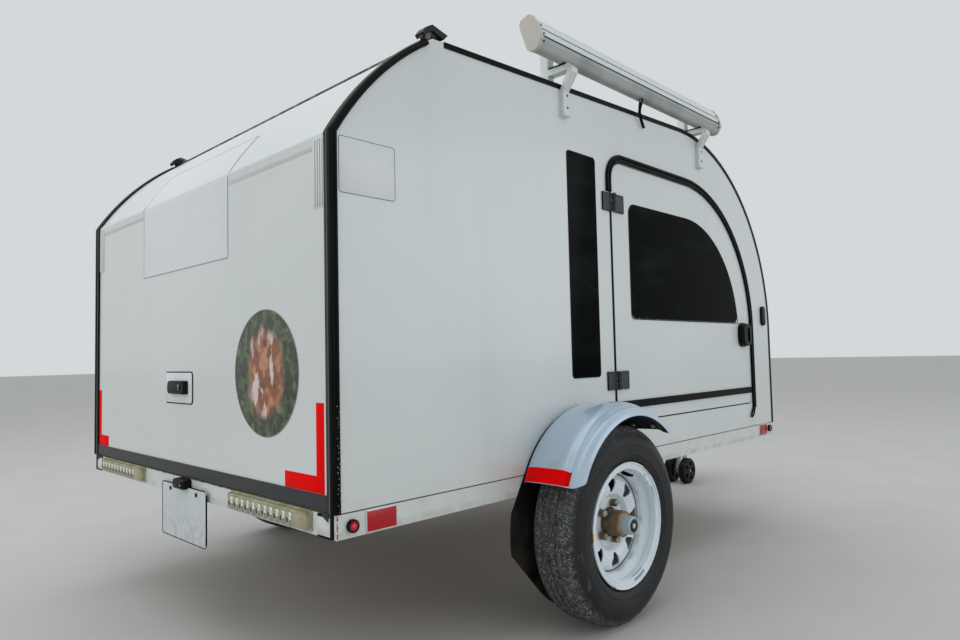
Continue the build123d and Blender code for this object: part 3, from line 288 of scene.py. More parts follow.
def rim_paint():
    """Silver white enamel sprayed on pressed steel: dirt in the corners, orange rust on the flange."""
    paint = Paint("sprayed silver wheel enamel", "#E6F0F5", 0.32, 0.0, Coat_Weight=0.3, Coat_Roughness=0.15)
    paint.over(paint.noise(111.1, 0.5, 0.75), "#CBD8DE", 0.35, 0.4)
    corner = paint.times(paint.radius(0.134, 0.141), paint.radius(0.150, 0.143))
    paint.over(paint.times(corner, paint.noise(38.46, 0.35, 0.7)), "#6A6E6E", 0.45, 0.6)
    centre = paint.times(paint.radius(0.078, 0.045), paint.noise(35.71, 0.42, 0.7))
    paint.over(centre, "#8F887B", 0.35, 0.6)
    edge = paint.times(paint.radius(0.1775, 0.1805), paint.noise(76.92, 0.57, 0.64))
    paint.over(edge, "#C08A22", 0.9, 0.85)
    chips = paint.times(paint.cells(23.81, 0.06, 0.035), paint.noise(142.9, 0.56, 0.62))
    paint.over(chips, "#D09A22", 0.9, 0.8)
    barrel = paint.times(paint.radius(0.1632, 0.1645), paint.radius(0.1700, 0.1680))
    front = paint.times(paint.above(0, AXLE_X + 0.09, 0.05), paint.above(2, AXLE_Z - 0.01, 0.03))
    smears = paint.times(paint.noise(29.41, 0.54, 0.58, stretch=(1, 1, 0.22)), paint.times(barrel, front))
    paint.over(smears, "#2A231C", 0.85, 0.7)
    paint.relief(paint.noise(8.333, 0.3, 0.7), 0.00015, 0.4)
    return paint.done()


def hub_iron():
    """Cast iron hub gone rusty brown, with the pressed cap at its end still galvanised."""
    paint = Paint("rusty cast iron hub", "#6B5A47", 0.78, 0.2)
    paint.over(paint.noise(22.22, 0.45, 0.7), "#7D6040", 0.6, 0.9)
    paint.over(paint.noise(45.45, 0.5, 0.72), "#3E362D", 0.7, 0.85)
    paint.over(paint.noise(12.5, 0.6, 0.74), "#A39373", 0.45, 0.9)
    base = paint.times(paint.aside(0.952, 0.9545), paint.noise(25.0, 0.3, 0.6))
    paint.over(base, "#A68C68", 0.75, 0.9)
    cap = paint.times(paint.aside(0.9548, 0.9555), paint.radius(0.0290, 0.0280))
    paint.over(cap, "#A9B8BF", 1.0, 0.36)
    rim = paint.times(cap, paint.times(paint.aside(0.9595, 0.957), paint.noise(16.67, 0.3, 0.6)))
    paint.over(rim, "#B39A76", 0.8, 0.8)
    paint.relief(paint.noise(5.556, 0.25, 0.75), 0.0005, 0.7)
    return paint.done()


def nut_steel():
    """Forged and plated nuts gone grey, with brown rust on their ends and feet."""
    paint = Paint("zinc plated nut steel", "#B9B6AC", 0.45, 0.4)
    paint.over(paint.noise(18.18, 0.42, 0.6), "#6F5235", 0.75, 0.85)
    paint.over(paint.noise(8.333, 0.5, 0.66), "#C9C6B8", 0.4, 0.5)
    paint.relief(paint.noise(5.0, 0.25, 0.75), 0.0003, 0.6)
    return paint.done()


def tyre_rubber():
    """Moulded tyre, worn: gritty tread and shoulder with pale and yellow stones, a smooth dark wall."""
    paint = Paint("worn tyre rubber", "#1B1D1F", 0.55, Specular_IOR_Level=0.35)
    paint.over(paint.noise(100.0, 0.4, 0.75), "#2A2C2F", 0.7, 0.62)
    tread = paint.radius(0.262, 0.281)
    paint.over(paint.times(tread, paint.noise(25.0, 0.25, 0.5)), "#4B4D50", 0.9, 0.9)
    dark = paint.times(paint.cells(6.667, 0.36, 0.16), paint.noise(29.41, 0.34, 0.5))
    paint.over(paint.times(dark, tread), "#101215", 0.9, 0.9)
    grit = paint.times(paint.cells(3.846, 0.46, 0.2), paint.noise(11.76, 0.44, 0.54))
    paint.over(paint.times(grit, tread), "#BDBBB4", 0.9, 0.95)
    stones = paint.times(paint.cells(8.333, 0.14, 0.07), paint.noise(47.62, 0.54, 0.62))
    paint.over(paint.times(stones, tread), "#B7A468", 0.8, 0.95)
    scuffs = paint.times(paint.radius(0.232, 0.25), paint.noise(14.29, 0.62, 0.72, stretch=(1, 1, 0.3)))
    paint.over(scuffs, "#5E5F60", 0.5, 0.8)
    bead = paint.times(paint.radius(0.198, 0.187), paint.noise(25.0, 0.45, 0.7))
    paint.over(bead, "#46443E", 0.5, 0.8)
    paint.relief(paint.noise(4.167, 0.25, 0.75), 0.0005, 0.5)
    paint.relief(paint.times(grit, tread), 0.0012, 0.8)
    return paint.done()


def tinted():
    """Cast acrylic tinted near black, with a faint haze of dust and fine wiping marks."""
    paint = Paint("tinted cast acrylic", "#040807", 0.07, Specular_IOR_Level=0.02)
    paint.over(paint.noise(142.9, 0.5, 0.85, stretch=(0.5, 1, 1.6)), "#16221C", 0.8, 0.1)
    paint.over(paint.noise(16.67, 0.66, 0.82, stretch=(0.2, 1, 1)), "#1A2420", 0.15, 0.25)
    paint.relief(paint.noise(200.0, 0.0, 1.0, detail=1.0), 0.001, 0.2)
    return paint.done()


def plywood():
    """Rotary cut birch ply: long grain along the panel, darker growth bands, a satin seal."""
    paint = Paint("sealed birch plywood", "#C9A877", 0.45)
    grain = paint.noise(111.1, 0.3, 0.7, detail=8.0, stretch=(0.35, 6, 6))
    paint.over(grain, "#A37D4C", 0.6, 0.5)
    paint.over(paint.noise(16.67, 0.5, 0.8, stretch=(0.1, 5, 5)), "#7F5C36", 0.4)
    paint.relief(grain, 0.0004, 0.4)
    return paint.done()


def moulded(name, colour, rough=0.4):
    """Injection moulded ABS with a fine leathery grain and dusty hollows."""
    paint = Paint(name, colour, rough, Specular_IOR_Level=0.18)
    paint.over(paint.noise(55.56, 0.5, 0.8), "#1E2021", 0.35, 0.5)
    paint.over(paint.noise(6.667, 0.66, 0.8), "#565751", 0.2, 0.7)
    paint.relief(paint.cells(1.111, 0.0, 0.6), 0.0001, 0.5)
    return paint.done()


def lens(name, colour, deep, pitch):
    """Moulded acrylic over a grid of small prisms, which break up its shine, with deeper coloured dirt."""
    paint = Paint(name, colour, 0.25, Specular_IOR_Level=0.3, Coat_Weight=0.15, Coat_Roughness=0.08)
    prisms = paint.times(paint.waves(pitch, "X"), paint.waves(pitch, "Z"))
    paint.over(paint.ease(prisms, 0.0, 0.8), deep, 0.35)
    paint.over(paint.noise(25.0, 0.55, 0.8), deep, 0.5, 0.4)
    paint.relief(prisms, 0.0003, 0.4)
    return paint.done()


def tape(name, colour, dull="#A00C0C"):
    """Reflective tape: a honeycomb of prisms, drawn 3 mm wide, under a film dulled by dust."""
    paint = Paint(name, colour, 0.45, Specular_IOR_Level=0.04)
    paint.over(paint.cells(3.03, 0.02, 0.08, feature="DISTANCE_TO_EDGE"), "#F01810", 0.12)
    paint.over(paint.noise(71.43, 0.55, 0.8), dull, 0.3, 0.45)
    return paint.done()


def drawn_skin(name, colour, rough=0.38, metal=0.35, dust="#8E8E86"):
    """Drawn or rolled skin, of plastic where metal is 0: faint lines along X and a film of dust."""
    paint = Paint(name, colour, rough, metal, Specular_IOR_Level=0.4)
    paint.over(paint.noise(16.67, 0.4, 0.75, stretch=(0.02, 6, 6)), dust, 0.22, 0.45)
    paint.over(paint.noise(166.7, 0.45, 0.75), dust, 0.22, 0.52)
    paint.relief(paint.noise(11.11, 0.3, 0.7, stretch=(0.02, 6, 6)), 0.00012, 0.5)
    return paint.done()


def case_metal():
    """Powder coated extrusion: faint draw lines and dust, and painted shade darkening its underside."""
    paint = Paint("powder coated awning extrusion", "#D6DCDC", 0.36, 0.05, Specular_IOR_Level=0.4)
    paint.over(paint.noise(16.67, 0.4, 0.75, stretch=(0.02, 6, 6)), "#B0B5B4", 0.22, 0.45)
    # Painted shade: the underside below this height is drawn darker grey, with darker blotches.
    under = paint.below(2, SEAM_Z + 1.288, 0.004)
    paint.over(under, "#9DA3A0", 0.7, 0.5)
    paint.over(paint.times(under, paint.noise(142.9, 0.4, 0.7)), "#7F8481", 0.5, 0.6)
    paint.relief(paint.noise(11.11, 0.3, 0.7, stretch=(0.02, 6, 6)), 0.00012, 0.5)
    return paint.done()


def hinge_casting():
    """Zinc alloy casting under a dark powder coat, worn paler on its high spots."""
    paint = Paint("powder coated hinge casting", "#333841", 0.45, 0.2, Specular_IOR_Level=0.4)
    paint.over(paint.noise(16.67, 0.55, 0.75), "#4C525C", 0.4, 0.55)
    paint.over(paint.noise(71.43, 0.5, 0.75), "#22252A", 0.4)
    paint.relief(paint.noise(2.0, 0.3, 0.7), 0.00015, 0.6)
    return paint.done()


def screw_steel():
    """Turned and plated screws, dulled, some with a brown bloom."""
    paint = Paint("zinc plated screw steel", "#A4A7A8", 0.36, 0.8)
    paint.over(paint.noise(11.11, 0.5, 0.65), "#75603F", 0.45, 0.75)
    paint.relief(paint.noise(1.667, 0.3, 0.7), 0.0001, 0.5)
    return paint.done()


def plate_paint():
    """White film rolled on pressed aluminium: grey dust below, faint rain marks."""
    paint = Paint("bare number plate film", "#CDD4D8", 0.4, Coat_Weight=0.15, Coat_Roughness=0.2)
    paint.over(paint.noise(55.56, 0.45, 0.75, stretch=(1, 1, 0.2)), "#B4B8B8", 0.2, 0.5)
    low = paint.times(paint.below(2, SEAM_Z - 0.15, 0.09), paint.noise(25.0, 0.35, 0.7))
    paint.over(low, "#8A8375", 0.35, 0.7)
    paint.relief(paint.cells(2.381, 0.0, 0.5), 0.0001, 0.3)
    return paint.done()


def lamp_plastic():
    """Clear moulded polycarbonate gone yellow, with olive dirt along its top edge."""
    paint = Paint("yellowed moulded polycarbonate", "#A8A88C", 0.28, Coat_Weight=0.25, Coat_Roughness=0.1)
    paint.over(paint.noise(33.33, 0.4, 0.7), "#8F9076", 0.6, 0.4)
    top = paint.times(paint.above(2, SEAM_Z - 0.010, 0.012), paint.noise(55.56, 0.3, 0.65))
    paint.over(top, "#7F7444", 0.7, 0.6)
    paint.over(paint.noise(10.53, 0.58, 0.7), "#5D5E45", 0.6, 0.5)
    paint.relief(paint.noise(6.667, 0.2, 0.8), 0.0004, 0.4)
    return paint.done()


def picture_film():
    """Printed vinyl: soft blotches of leaf green, russet and cream with no subject."""
    paint = Paint("printed vinyl film", "#27311F", 0.34, Coat_Weight=0.3, Coat_Roughness=0.15)
    leaves = paint.noise(29.41, 0.45, 0.6)
    paint.over(leaves, "#4F6137", 0.9)
    paint.over(paint.noise(16.67, 0.55, 0.65), "#0F150C", 0.85)
    paint.over(paint.noise(38.46, 0.58, 0.66), "#7C8452", 0.6)
    sideways = paint.combine(paint.axis(1), (310.0 - HALF) / 1000, "SUBTRACT")
    upward = paint.combine(paint.axis(2), SEAM_Z + 0.310, "SUBTRACT")
    tall = paint.times(paint.times(upward, upward), 0.55)
    squares = paint.combine(paint.times(sideways, sideways), tall)
    middle = paint.ease(paint.combine(squares, paint.times(paint.noise(83.33), 0.006)), 0.0125, 0.0075)
    paint.over(middle, "#8E4A26", 0.95)
    paint.over(paint.times(middle, paint.noise(33.33, 0.45, 0.62)), "#C98F66", 0.8)
    cream = paint.times(middle, paint.noise(58.82, 0.5, 0.58, stretch=(1, 1.6, 0.7)))
    paint.over(cream, "#DCD3CC", 0.95)
    paint.over(paint.times(middle, paint.noise(20.83, 0.6, 0.66)), "#4A2A1A", 0.8)
    return paint.done()


def webbing():
    """Black nylon webbing: ribs across it, drawn 2 mm apart, under a film of dust."""
    paint = Paint("woven nylon webbing", "#0B0C0D", 0.8, Specular_IOR_Level=0.15)
    ribs = paint.waves(1.963, "Z")
    paint.over(ribs, "#24262A", 0.6)
    paint.over(paint.noise(25.0, 0.5, 0.75), "#4A4844", 0.3, 0.9)
    paint.relief(ribs, 0.0003, 0.5)
    return paint.done()


white = panel_paint("gelcoat fibreglass panel", "#D9DEDD")
film_white = panel_paint("cast white vinyl film", "#DEE2E3", 0.1)
# Black rubber, also laid in the gaps at the door, the hatch and the awning brackets as painted shade.
black = rubber("extruded black rubber and painted gap shade", "#08090A")
edging = rubber("extruded black vinyl edging", "#0A0C0D", 0.28)
worn_strip = rubber("worn grey rubber strip", "#4C504F", 0.5)
# Pale: the round film's edge and scuffs, and painted highlights on the glass foot and the rear edging.
pale_line = drawn_skin("pale edges, scuffs and painted highlights", "#8D9390", 0.5, 0.0)
bend_shade = drawn_skin("painted shadow under gelcoat fold", "#C9CECC", 0.45, 0.0, "#B4B8B4")
# Grey: the cut edges of the vinyl sheets, and painted shade in the vent grooves.
thin_line = drawn_skin("cut vinyl edge and painted groove shade", "#7D8385", 0.5, 0.0)
dirt_line = drawn_skin("packed road dirt", "#4A4338", 0.85, 0.0, "#7C7157")
rail_grey = drawn_skin("powder coated aluminium rail", "#2E2F31", 0.4, 0.2, "#3E3F3F")
glass = tinted()
board = plywood()
hinge = hinge_casting()
plastic = moulded("moulded black ABS", "#08090A")
red = lens("moulded red acrylic lens", "#B80C1A", "#8A0A14", 5.236)
amber = lens("moulded amber acrylic lens", "#A82C08", "#741A04", 5.236)
plate = plate_paint()
rubber_tyre = tyre_rubber()
rim = rim_paint()
iron = hub_iron()
nuts = nut_steel()
fender = fender_paint()
liner = liner_sheet("moulded polyethylene liner")
lining = liner_sheet("sprayed black underseal")
steel = frame_paint()
galvanised = zinc()
awning = case_metal()
awning_end = drawn_skin("moulded nylon end cap", "#C4BEB6", 0.4, 0.0, "#A19B92")
screws = screw_steel()
red_tape = tape("prismatic red tape", "#F20206")
groove_shade_paint = drawn_skin("painted shade in extrusion grooves", "#3E4340", 0.6, 0.0, "#5C605C")
lamp_clear = lamp_plastic()
lamp_glint_paint = drawn_skin("painted glints on plated lamp cells", "#F4F4EA", 0.2, 0.1, "#DAD8C4")
lamp_grey = drawn_skin("dull plated lamp cells", "#8F9484", 0.35, 0.3, "#5E6455")
lamp_amber = drawn_skin("moulded amber diode resin", "#C58A3A", 0.3, 0.1, "#D8C08A")
lamp_round = drawn_skin("moulded acrylic lamp end", "#A8A283", 0.3, 0.1, "#8A7F52")
dark_cell = drawn_skin("moulded dark lamp housing", "#3F4538", 0.4, 0.0, "#6A705C")
dark_bolts = drawn_skin("blackened steel bolts", "#1D1D1F", 0.45, 0.3, "#4A3F33")
bright_bolts = drawn_skin("zinc plated steel bolts", "#D5D2CB", 0.4, 0.3, "#8F8777")
gloss_black = moulded("moulded glossy black ABS", "#08090A", 0.2)
# Painted highlight: the pale pink middle of the rear round marker.
marker_highlight_paint = lens("painted highlight on red marker lens", "#E8466A", "#C02040", 3.491)
rust_film = drawn_skin("orange rust film", "#9A5A22", 0.8, 0.0, "#6A4022")
cap_rust = drawn_skin("rust bloomed pressed steel", "#BBA284", 0.7, 0.1, "#A8742E")
fold_tape = tape("prismatic red tape in shade", "#C80810")
weight = drawn_skin("cast lead balance weight", "#7F93A3", 0.5, 0.4, "#5E6E7A")

finishes = {
    white: "floor_skirt side_wall_right side_wall_left roof_panel hatch_panel"
           " door_right door_left awning_brackets",
    black: "roof_trims door_rail_right door_rail_left door_seals",
    boot_rubber(): "ridge_cap_roof ridge_cap_hatch",
    edging: "rear_trims",
    rail_grey: "hatch_rail",
    glass: "strip_windows door_glass_right door_glass_left",
    board: "floor_panel bulkhead galley_counter",
    hinge: "hinge_leaves_wall hinge_leaves_right hinge_leaves_left",
    plastic: "door_handle_right door_handle_left plate_lamp porch_lamps jack_wheels",
    film_white: "hatch_latch",
    red: "markers_red",
    amber: "markers_amber",
    plate: "licence_plate",
    rubber_tyre: "wheel_tyre_right wheel_tyre_left",
    rim: "wheel_rim_right wheel_rim_left",
    iron: "wheel_hub_right wheel_hub_left",
    fender: "fender_right fender_left",
    liner: "wheel_liners",
    steel: "axle_beam torsion_arms chassis_rails cross_members tongue_arms",
    galvanised: "coupler jack_tube jack_leg jack_yoke",
    awning: "awning_case",
    awning_end: "awning_caps",
    lamp_clear: "tail_lamps",
}
for finish, covered in finishes.items():
    for name in covered.split():
        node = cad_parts[name]
        if not node.material_slots:
            node.data.materials.append(finish)
        for material_slot in node.material_slots:
            material_slot.material = finish


def around(centre, angle, radius):
    """A place on the side plan at an angle, in degrees, and a radius about a centre."""
    return centre[0] + radius * cos(radians(angle)), centre[1] + radius * sin(radians(angle))


def rounded(low_u, high_u, low_v, high_v, radius, steps=6):
    """Outline of a rounded rectangle."""
    corners = (
        (high_u - radius, low_v + radius, -90),
        (high_u - radius, high_v - radius, 0),
        (low_u + radius, high_v - radius, 90),
        (low_u + radius, low_v + radius, 180),
    )
    points = []
    for u, v, start in corners:
        points += arc(u, v, radius, start, 90, steps)
    return points


def arc(u, v, radius, start, sweep, steps=24):
    """Points along an arc, in degrees."""
    turns = [radians(start + sweep * k / steps) for k in range(steps + 1)]
    return [(u + radius * cos(a), v + radius * sin(a)) for a in turns]


def divided(low, high, count):
    """Evenly spaced values from low to high."""
    return [low + (high - low) * k / count for k in range(count + 1)]


def shifted(path, amount, closed=True):
    """The path moved to its left by an amount."""
    count = len(path)
    moved = []
    for i, (u, v) in enumerate(path):
        before = path[(i - 1) % count] if closed or i else path[i]
        after = path[(i + 1) % count] if closed or i + 1 < count else path[i]
        du, dv = after[0] - before[0], after[1] - before[1]
        length = hypot(du, dv) or 1.0
        moved.append((u - amount * dv / length, v + amount * du / length))
    return moved


def edited_points():
    """The mesh in edit mode, kept because its points last only as long as it does, and those selected."""
    mesh = bmesh.from_edit_mesh(bpy.context.object.data)
    return mesh, [point for point in mesh.verts if point.select]


class Shape:
    """Solids modelled in edit mode and joined into one piece, in millimetres of the part's frame."""

    def __init__(self):
        self.solids = []

    def rows(self, rows, ring=False):
        """A circle put on the first row and extruded to each next one; ring closes it to the first."""
        bpy.ops.object.select_all(action="DESELECT")
        fill = "NOTHING" if ring else "NGON"
        bpy.ops.mesh.primitive_circle_add(vertices=len(rows[0]), fill_type=fill, enter_editmode=True)
        bpy.context.object.location = (0, 0, 0)
        mesh, fresh = edited_points()
        for point, target in zip(fresh, rows[0]):
            point.co = [c / 1000 for c in target]
        line = [tuple(point.co) for point in fresh]
        for row in rows[1:] + (rows[:1] if ring else []):
            bpy.ops.mesh.extrude_region()
            mesh, fresh = edited_points()
            found = {tuple(point.co): point for point in fresh}
            for k, target in enumerate(row):
                point = found[line[k]]
                point.co = [c / 1000 for c in target]
                line[k] = tuple(point.co)
        bpy.ops.mesh.select_all(action="SELECT")
        if ring:
            bpy.ops.mesh.remove_doubles(threshold=1e-6)
        bpy.ops.mesh.normals_make_consistent(inside=False)
        bpy.ops.object.mode_set(mode="OBJECT")
        self.solids.append(bpy.context.object)
        return self

    def slab(self, outline, place, low, high, bevel=0.3):
        """A flat plate over an outline, its outer edge rounded off."""
        steps = ((0.0, low), (0.0, high - bevel), (0.3 * bevel, high - 0.3 * bevel), (bevel, high))
        rows = [[place(u, v, out) for u, v in shifted(outline, inset)] for inset, out in steps]
        return self.rows(rows)

    def turned(self, profile, place, u, v, steps=32, ring=False):
        """A profile of (radius, out) turned about the surface's normal at a point."""
        rows = []
        for radius, out in profile:
            circle = arc(u, v, radius, 0, 360 - 360 / steps, steps - 1)
            rows.append([place(a, b, out) for a, b in circle])
        return self.rows(rows, ring=ring)

    def swept(self, path, profile, place, closed=False):
        """A profile of (across, out) drawn along a path on the surface, across to the path's left."""
        rails = [[place(u, v, out) for u, v in shifted(path, across, closed)] for across, out in profile]
        rows = [list(row) for row in zip(*rails)]
        return self.rows(rows, ring=closed)

    def tube(self, path, radius, steps=10, flat=1.0):
        """A bar of round or flattened section through points of the part's frame."""
        rows = []
        line = [Vector(p) for p in path]
        for i, point in enumerate(line):
            along = (line[min(i + 1, len(line) - 1)] - line[max(i - 1, 0)]).normalized()
            side = along.cross(Vector((0.31, 0.17, 0.93))).normalized()
            other = along.cross(side) * flat
            ring = [2 * pi * k / steps for k in range(steps)]
            rows.append([tuple(point + radius * (cos(a) * side + sin(a) * other)) for a in ring])
        return self.rows(rows)

    def piece(self, name, body, slot, paint, sharp=38):
        """The solids joined into the finished piece, riding on its body."""
        bpy.ops.object.select_all(action="DESELECT")
        for solid in self.solids:
            solid.select_set(True)
        thing = self.solids[0]
        bpy.context.view_layer.objects.active = thing
        if len(self.solids) > 1:
            bpy.ops.object.join()
        thing.name = thing.data.name = name
        bpy.ops.object.shade_smooth_by_angle(angle=radians(sharp))
        thing.data.materials.append(paint)
        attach(thing, body)
        return thing


def screw_head(shape, place, u, v, radius, base=0.0, height=2.0):
    """A pan head with a sunk drive."""
    profile = (
        (radius, base),
        (radius, base + 0.35 * height),
        (0.82 * radius, base + 0.85 * height),
        (0.5 * radius, base + height),
        (0.36 * radius, base + height),
        (0.3 * radius, base + 0.4 * height),
        (0.05 * radius, base + 0.35 * height),
    )
    shape.turned(profile, place, u, v, 18)


def both(name, body, slot, paint, make, sharp=38):
    """A piece made on the right and its mirrored copy on the left; SIDE in the body's name is the side."""
    shape = Shape()
    make(shape, right)
    first = shape.piece(name + "_right", body.replace("SIDE", "right"), slot, paint, sharp)
    other = first.copy()
    other.data = first.data.copy()
    other.name = other.data.name = name + "_left"
    bpy.context.scene.collection.objects.link(other)
    bpy.ops.object.select_all(action="DESELECT")
    bpy.context.view_layer.objects.active = other
    bpy.ops.object.mode_set(mode="EDIT")
    bpy.ops.mesh.select_all(action="SELECT")
    bpy.ops.transform.resize(value=(1, -1, 1), center_override=(0, 0, 0))
    bpy.ops.mesh.normals_make_consistent(inside=False)
    bpy.ops.object.mode_set(mode="OBJECT")
    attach(other, body.replace("SIDE", "left"))
    return first, other


# Hatch: red tape in two L shapes at its foot
tapes = Shape()
for low, high, foot_low, foot_high in ((44.0, 77.0, 44.0, 216.0), (1550.0, 1576.5, 1471.0, 1576.5)):
    tapes.slab(rounded(low, high, 38.6, 243.0, 0.8, 2), tail, 0.05, 0.5, 0.15)
    tapes.slab(rounded(foot_low, foot_high, 38.6, 77.0, 0.8, 2), tail, 0.05, 0.55, 0.15)
tapes.piece("hatch_tapes", "hatch", "red_lens", red_tape)

# Hatch: bare vinyl sheet over the bend, with its thin grey edge
low_u, high_u, low_v, high_v = 511.0, 1128.0, 626.0, 1020.0
heights = divided(low_v, high_v, 40)
cross = ((low_u, 0.05), (low_u + 0.4, 0.6), (high_u - 0.4, 0.6), (high_u, 0.05))
film = Shape().rows([[hatch_skin(u, v, out) for u, out in cross] for v in heights])
film.piece("hatch_sheet", "hatch", "white_panel", film_white)
edge_path = [(u, low_v) for u in divided(low_u, high_u, 8)] + [(high_u, v) for v in heights[1:]]
edge_path += [(u, high_v) for u in divided(high_u, low_u, 8)[1:]] + [(low_u, v) for v in heights[-2:0:-1]]
edge_lip = ((-0.4, 0.05), (-0.4, 0.8), (1.7, 0.8), (1.7, 0.4))
edge = Shape().swept(edge_path, edge_lip, hatch_skin, closed=True)
edge.piece("hatch_sheet_edge", "hatch", "white_panel", thin_line)

# Hatch: the soft fold of its skin at the bend, and the shadow line under it
bulge = [(840.0 + 44.0 * t, 1.9 * sin(pi * t) ** 2 + 0.03) for t in divided(0.0, 1.0, 16)]
# Painted shadow: a grey film band laid just under the fold.
band = ((826.0, 0.03), (826.4, 0.25), (838.6, 0.35), (839.0, 0.03))
for name, section, steps, paint, sharp in (
    ("hatch_bend", bulge, 12, white, 60),
    ("hatch_bend_shade", band, 4, bend_shade, 38),
):
    fold = Shape()
    for low_u, high_u in ((36.0, 505.0), (1134.0, 1575.0)):
        fold.rows([[hatch_skin(u, v, out) for v, out in section] for u in divided(low_u, high_u, steps)])
    fold.piece(name, "hatch", "white_panel", paint, sharp)

# Hatch: striped pale plates beside the bend, with painted shade in the grooves between their ribs
stripes, groove_shades = Shape(), Shape()
for low_u, high_u in ((34.0, 80.0), (1530.0, 1576.0)):
    stripes.slab(rounded(low_u, high_u, 690.0, 854.0, 2.0, 3), hatch_skin, 0.05, 1.4, 0.4)
    for u in divided(low_u + 8.0, high_u - 8.0, 3):
        stripes.slab(rounded(u - 3.2, u + 3.2, 694.0, 850.0, 2.0, 3), hatch_skin, 1.3, 3.6, 1.0)
    # Painted shade: darker grey strips laid in the grooves between the ribs.
    for u in divided(low_u + 13.0, high_u - 13.0, 2):
        groove_shades.slab(rounded(u - 1.3, u + 1.3, 694.0, 850.0, 1.0, 2), hatch_skin, 1.3, 1.7, 0.1)
stripes.piece("hatch_side_vents", "hatch", "white_panel", white)
groove_shades.piece("hatch_side_vent_groove_shadows", "hatch", "white_panel", thin_line)

# Hatch: latch plate with its black pull, keyhole and dark gasket
LATCH = rounded(742, 935, 219, 310, 9)
latch_plate = Shape().slab(LATCH, tail, 0.0, 3.0, 0.8)
plate_piece = latch_plate.piece("latch_plate", "hatch", "handle_plastic", film_white)
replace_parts(plate_piece, "hatch_latch")
gasket = Shape().swept(LATCH, ((1.0, 0.0), (1.0, 2.2), (-3.6, 1.4), (-3.6, 0.0)), tail, True)
gasket.piece("latch_gasket", "hatch", "handle_plastic", black)
low_u, high_u, low_v, high_v = 768.0, 893.0, 246.0, 286.0
key_u, key_v = 803, (low_v + high_v) / 2
outline = [(low_u + 2.0, low_v), (low_u, low_v + 2.0), (low_u, high_v - 2.0), (low_u + 2.0, high_v)]
outline += arc(high_u - 18.0, high_v - 17.0, 17.0, 90, -70, 5)
outline += arc(high_u - 18.0, low_v + 17.0, 17.0, -20, -70, 5)
steps = ((0, 2.5), (0, 15), (-1, 16.4), (-3, 17))
pull = Shape().rows([[tail(u, v, out) for u, v in shifted(outline, inset)] for inset, out in steps])
for v in (high_v - 4.5, low_v + 4.0):
    pull.slab(rounded(low_u + 5, high_u - 14, v - 2.4, v + 2.4, 2.2, 3), tail, 16.5, 19.0, 1.2)
pull.turned(((9.5, 16.8), (9.2, 18.2), (7.8, 18.6), (7.0, 17.2)), tail, key_u, key_v, 24)
pull.piece("latch_pull", "hatch", "handle_plastic", plastic)
key = Shape().turned(((5.2, 17.0), (5.0, 18.9), (3.0, 19.1)), tail, key_u, key_v + 5, 20)
key.slab(rounded(key_u - 2, key_u + 2, key_v - 9, key_v + 2, 1.2, 3), tail, 17.0, 18.9, 0.4)
key.piece("latch_keyhole", "hatch", "handle_plastic", screws)

# Hatch: round printed film with no subject
FILM = (310.0, 310.0)
picture = Shape().turned(((161, 0.05), (160.6, 0.6), (158, 0.65)), tail, *FILM, 96)
picture.piece("round_film", "hatch", "white_panel", picture_film())
film_lip = ((161.6, 0.05), (161.4, 0.7), (159.6, 0.8), (159.4, 0.5))
picture_edge = Shape().turned(film_lip, tail, *FILM, 96, ring=True)
picture_edge.piece("round_film_edge", "hatch", "white_panel", pale_line)

# Tail lamps: housing, clear bar with a round near end, and eleven cells in each with painted glints on their
# plating
LAMP_HALF = 197.0
CELLS, CELL_PITCH = 11, 29.4
for name, middle in (("right", 292.5), ("left", 1303.0)):
    near, far = middle - LAMP_HALF, middle + LAMP_HALF
    bar = arc(near + 21, -27, 21, 270, -180, 14) + [(near + 30, -6)]
    bar += [(far - 5, -6), (far, -11), (far, -43), (far - 5, -48), (near + 30, -48)]
    base = Shape().slab(rounded(near - 1, far + 2, -50.5, -2.5, 5), tail, 0.0, 3.0, 0.8)
    base.piece("lamp_base_" + name, "trailer", "lamp_lens", lamp_clear)
    steps = ((0.0, 2.5), (0.0, 11.0), (1.0, 14.0), (3.0, 15.2), (6.0, 15.6))
    clear = Shape().rows([[tail(u, v, out) for u, v in shifted(bar[::-1], inset)] for inset, out in steps])
    lamp_piece = clear.piece("lamp_bar_" + name, "trailer", "lamp_lens", lamp_clear)
    if name == "right":
        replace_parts(lamp_piece, "tail_lamps")
    bright, dull, dark = Shape(), Shape(), Shape()
    # Painted highlight: a near white glint drawn over each plated cell.
    glint = ((7, -16), (-5, -15), (-7, -20), (-3, -25), (-6, -32), (5, -32), (3, -24), (1, -20))
    for k in range(CELLS):
        u = far - 27.0 - CELL_PITCH * k
        bright.slab([(u + a, v) for a, v in glint], tail, 15.0, 16.6, 0.3)
        dull.slab(rounded(u - 6.5, u + 6.0, -46.5, -33.0, 2.0, 2), tail, 15.0, 16.3, 0.5)
        dark.slab(rounded(u + 9.5, u + 18.5, -40.0, -27.0, 3.0, 2), tail, 15.0, 15.9, 0.2)
        dark.slab(rounded(u - 7.5, u + 7.0, -35.0, -32.3, 1.0, 2), tail, 15.0, 15.9, 0.2)
    bright.piece("lamp_glints_" + name, "trailer", "lamp_lens", lamp_glint_paint)
    dull.piece("lamp_columns_" + name, "trailer", "lamp_lens", lamp_grey)
    dark.piece("lamp_gaps_" + name, "trailer", "lamp_lens", dark_cell)
    swell = ((17, 14.0), (16.5, 16.0), (13, 17.3), (7, 17.9), (1, 18.0))
    dome = Shape().turned(swell, tail, near + 22, -28, 32)
    dome.piece("lamp_turn_" + name, "trailer", "lamp_lens", lamp_round)
    flakes = Shape()
    for k in range(9):
        u, v = around((near + 22, -27), 40 * k + 17 * (k % 3), 5.0 + 2.2 * (k % 4))
        flakes.turned(((2.4, 16.0), (2.0, 18.3), (0.6, 18.6)), tail, u, v, 7)
    flakes.piece("lamp_flakes_" + name, "trailer", "lamp_lens", lamp_amber)

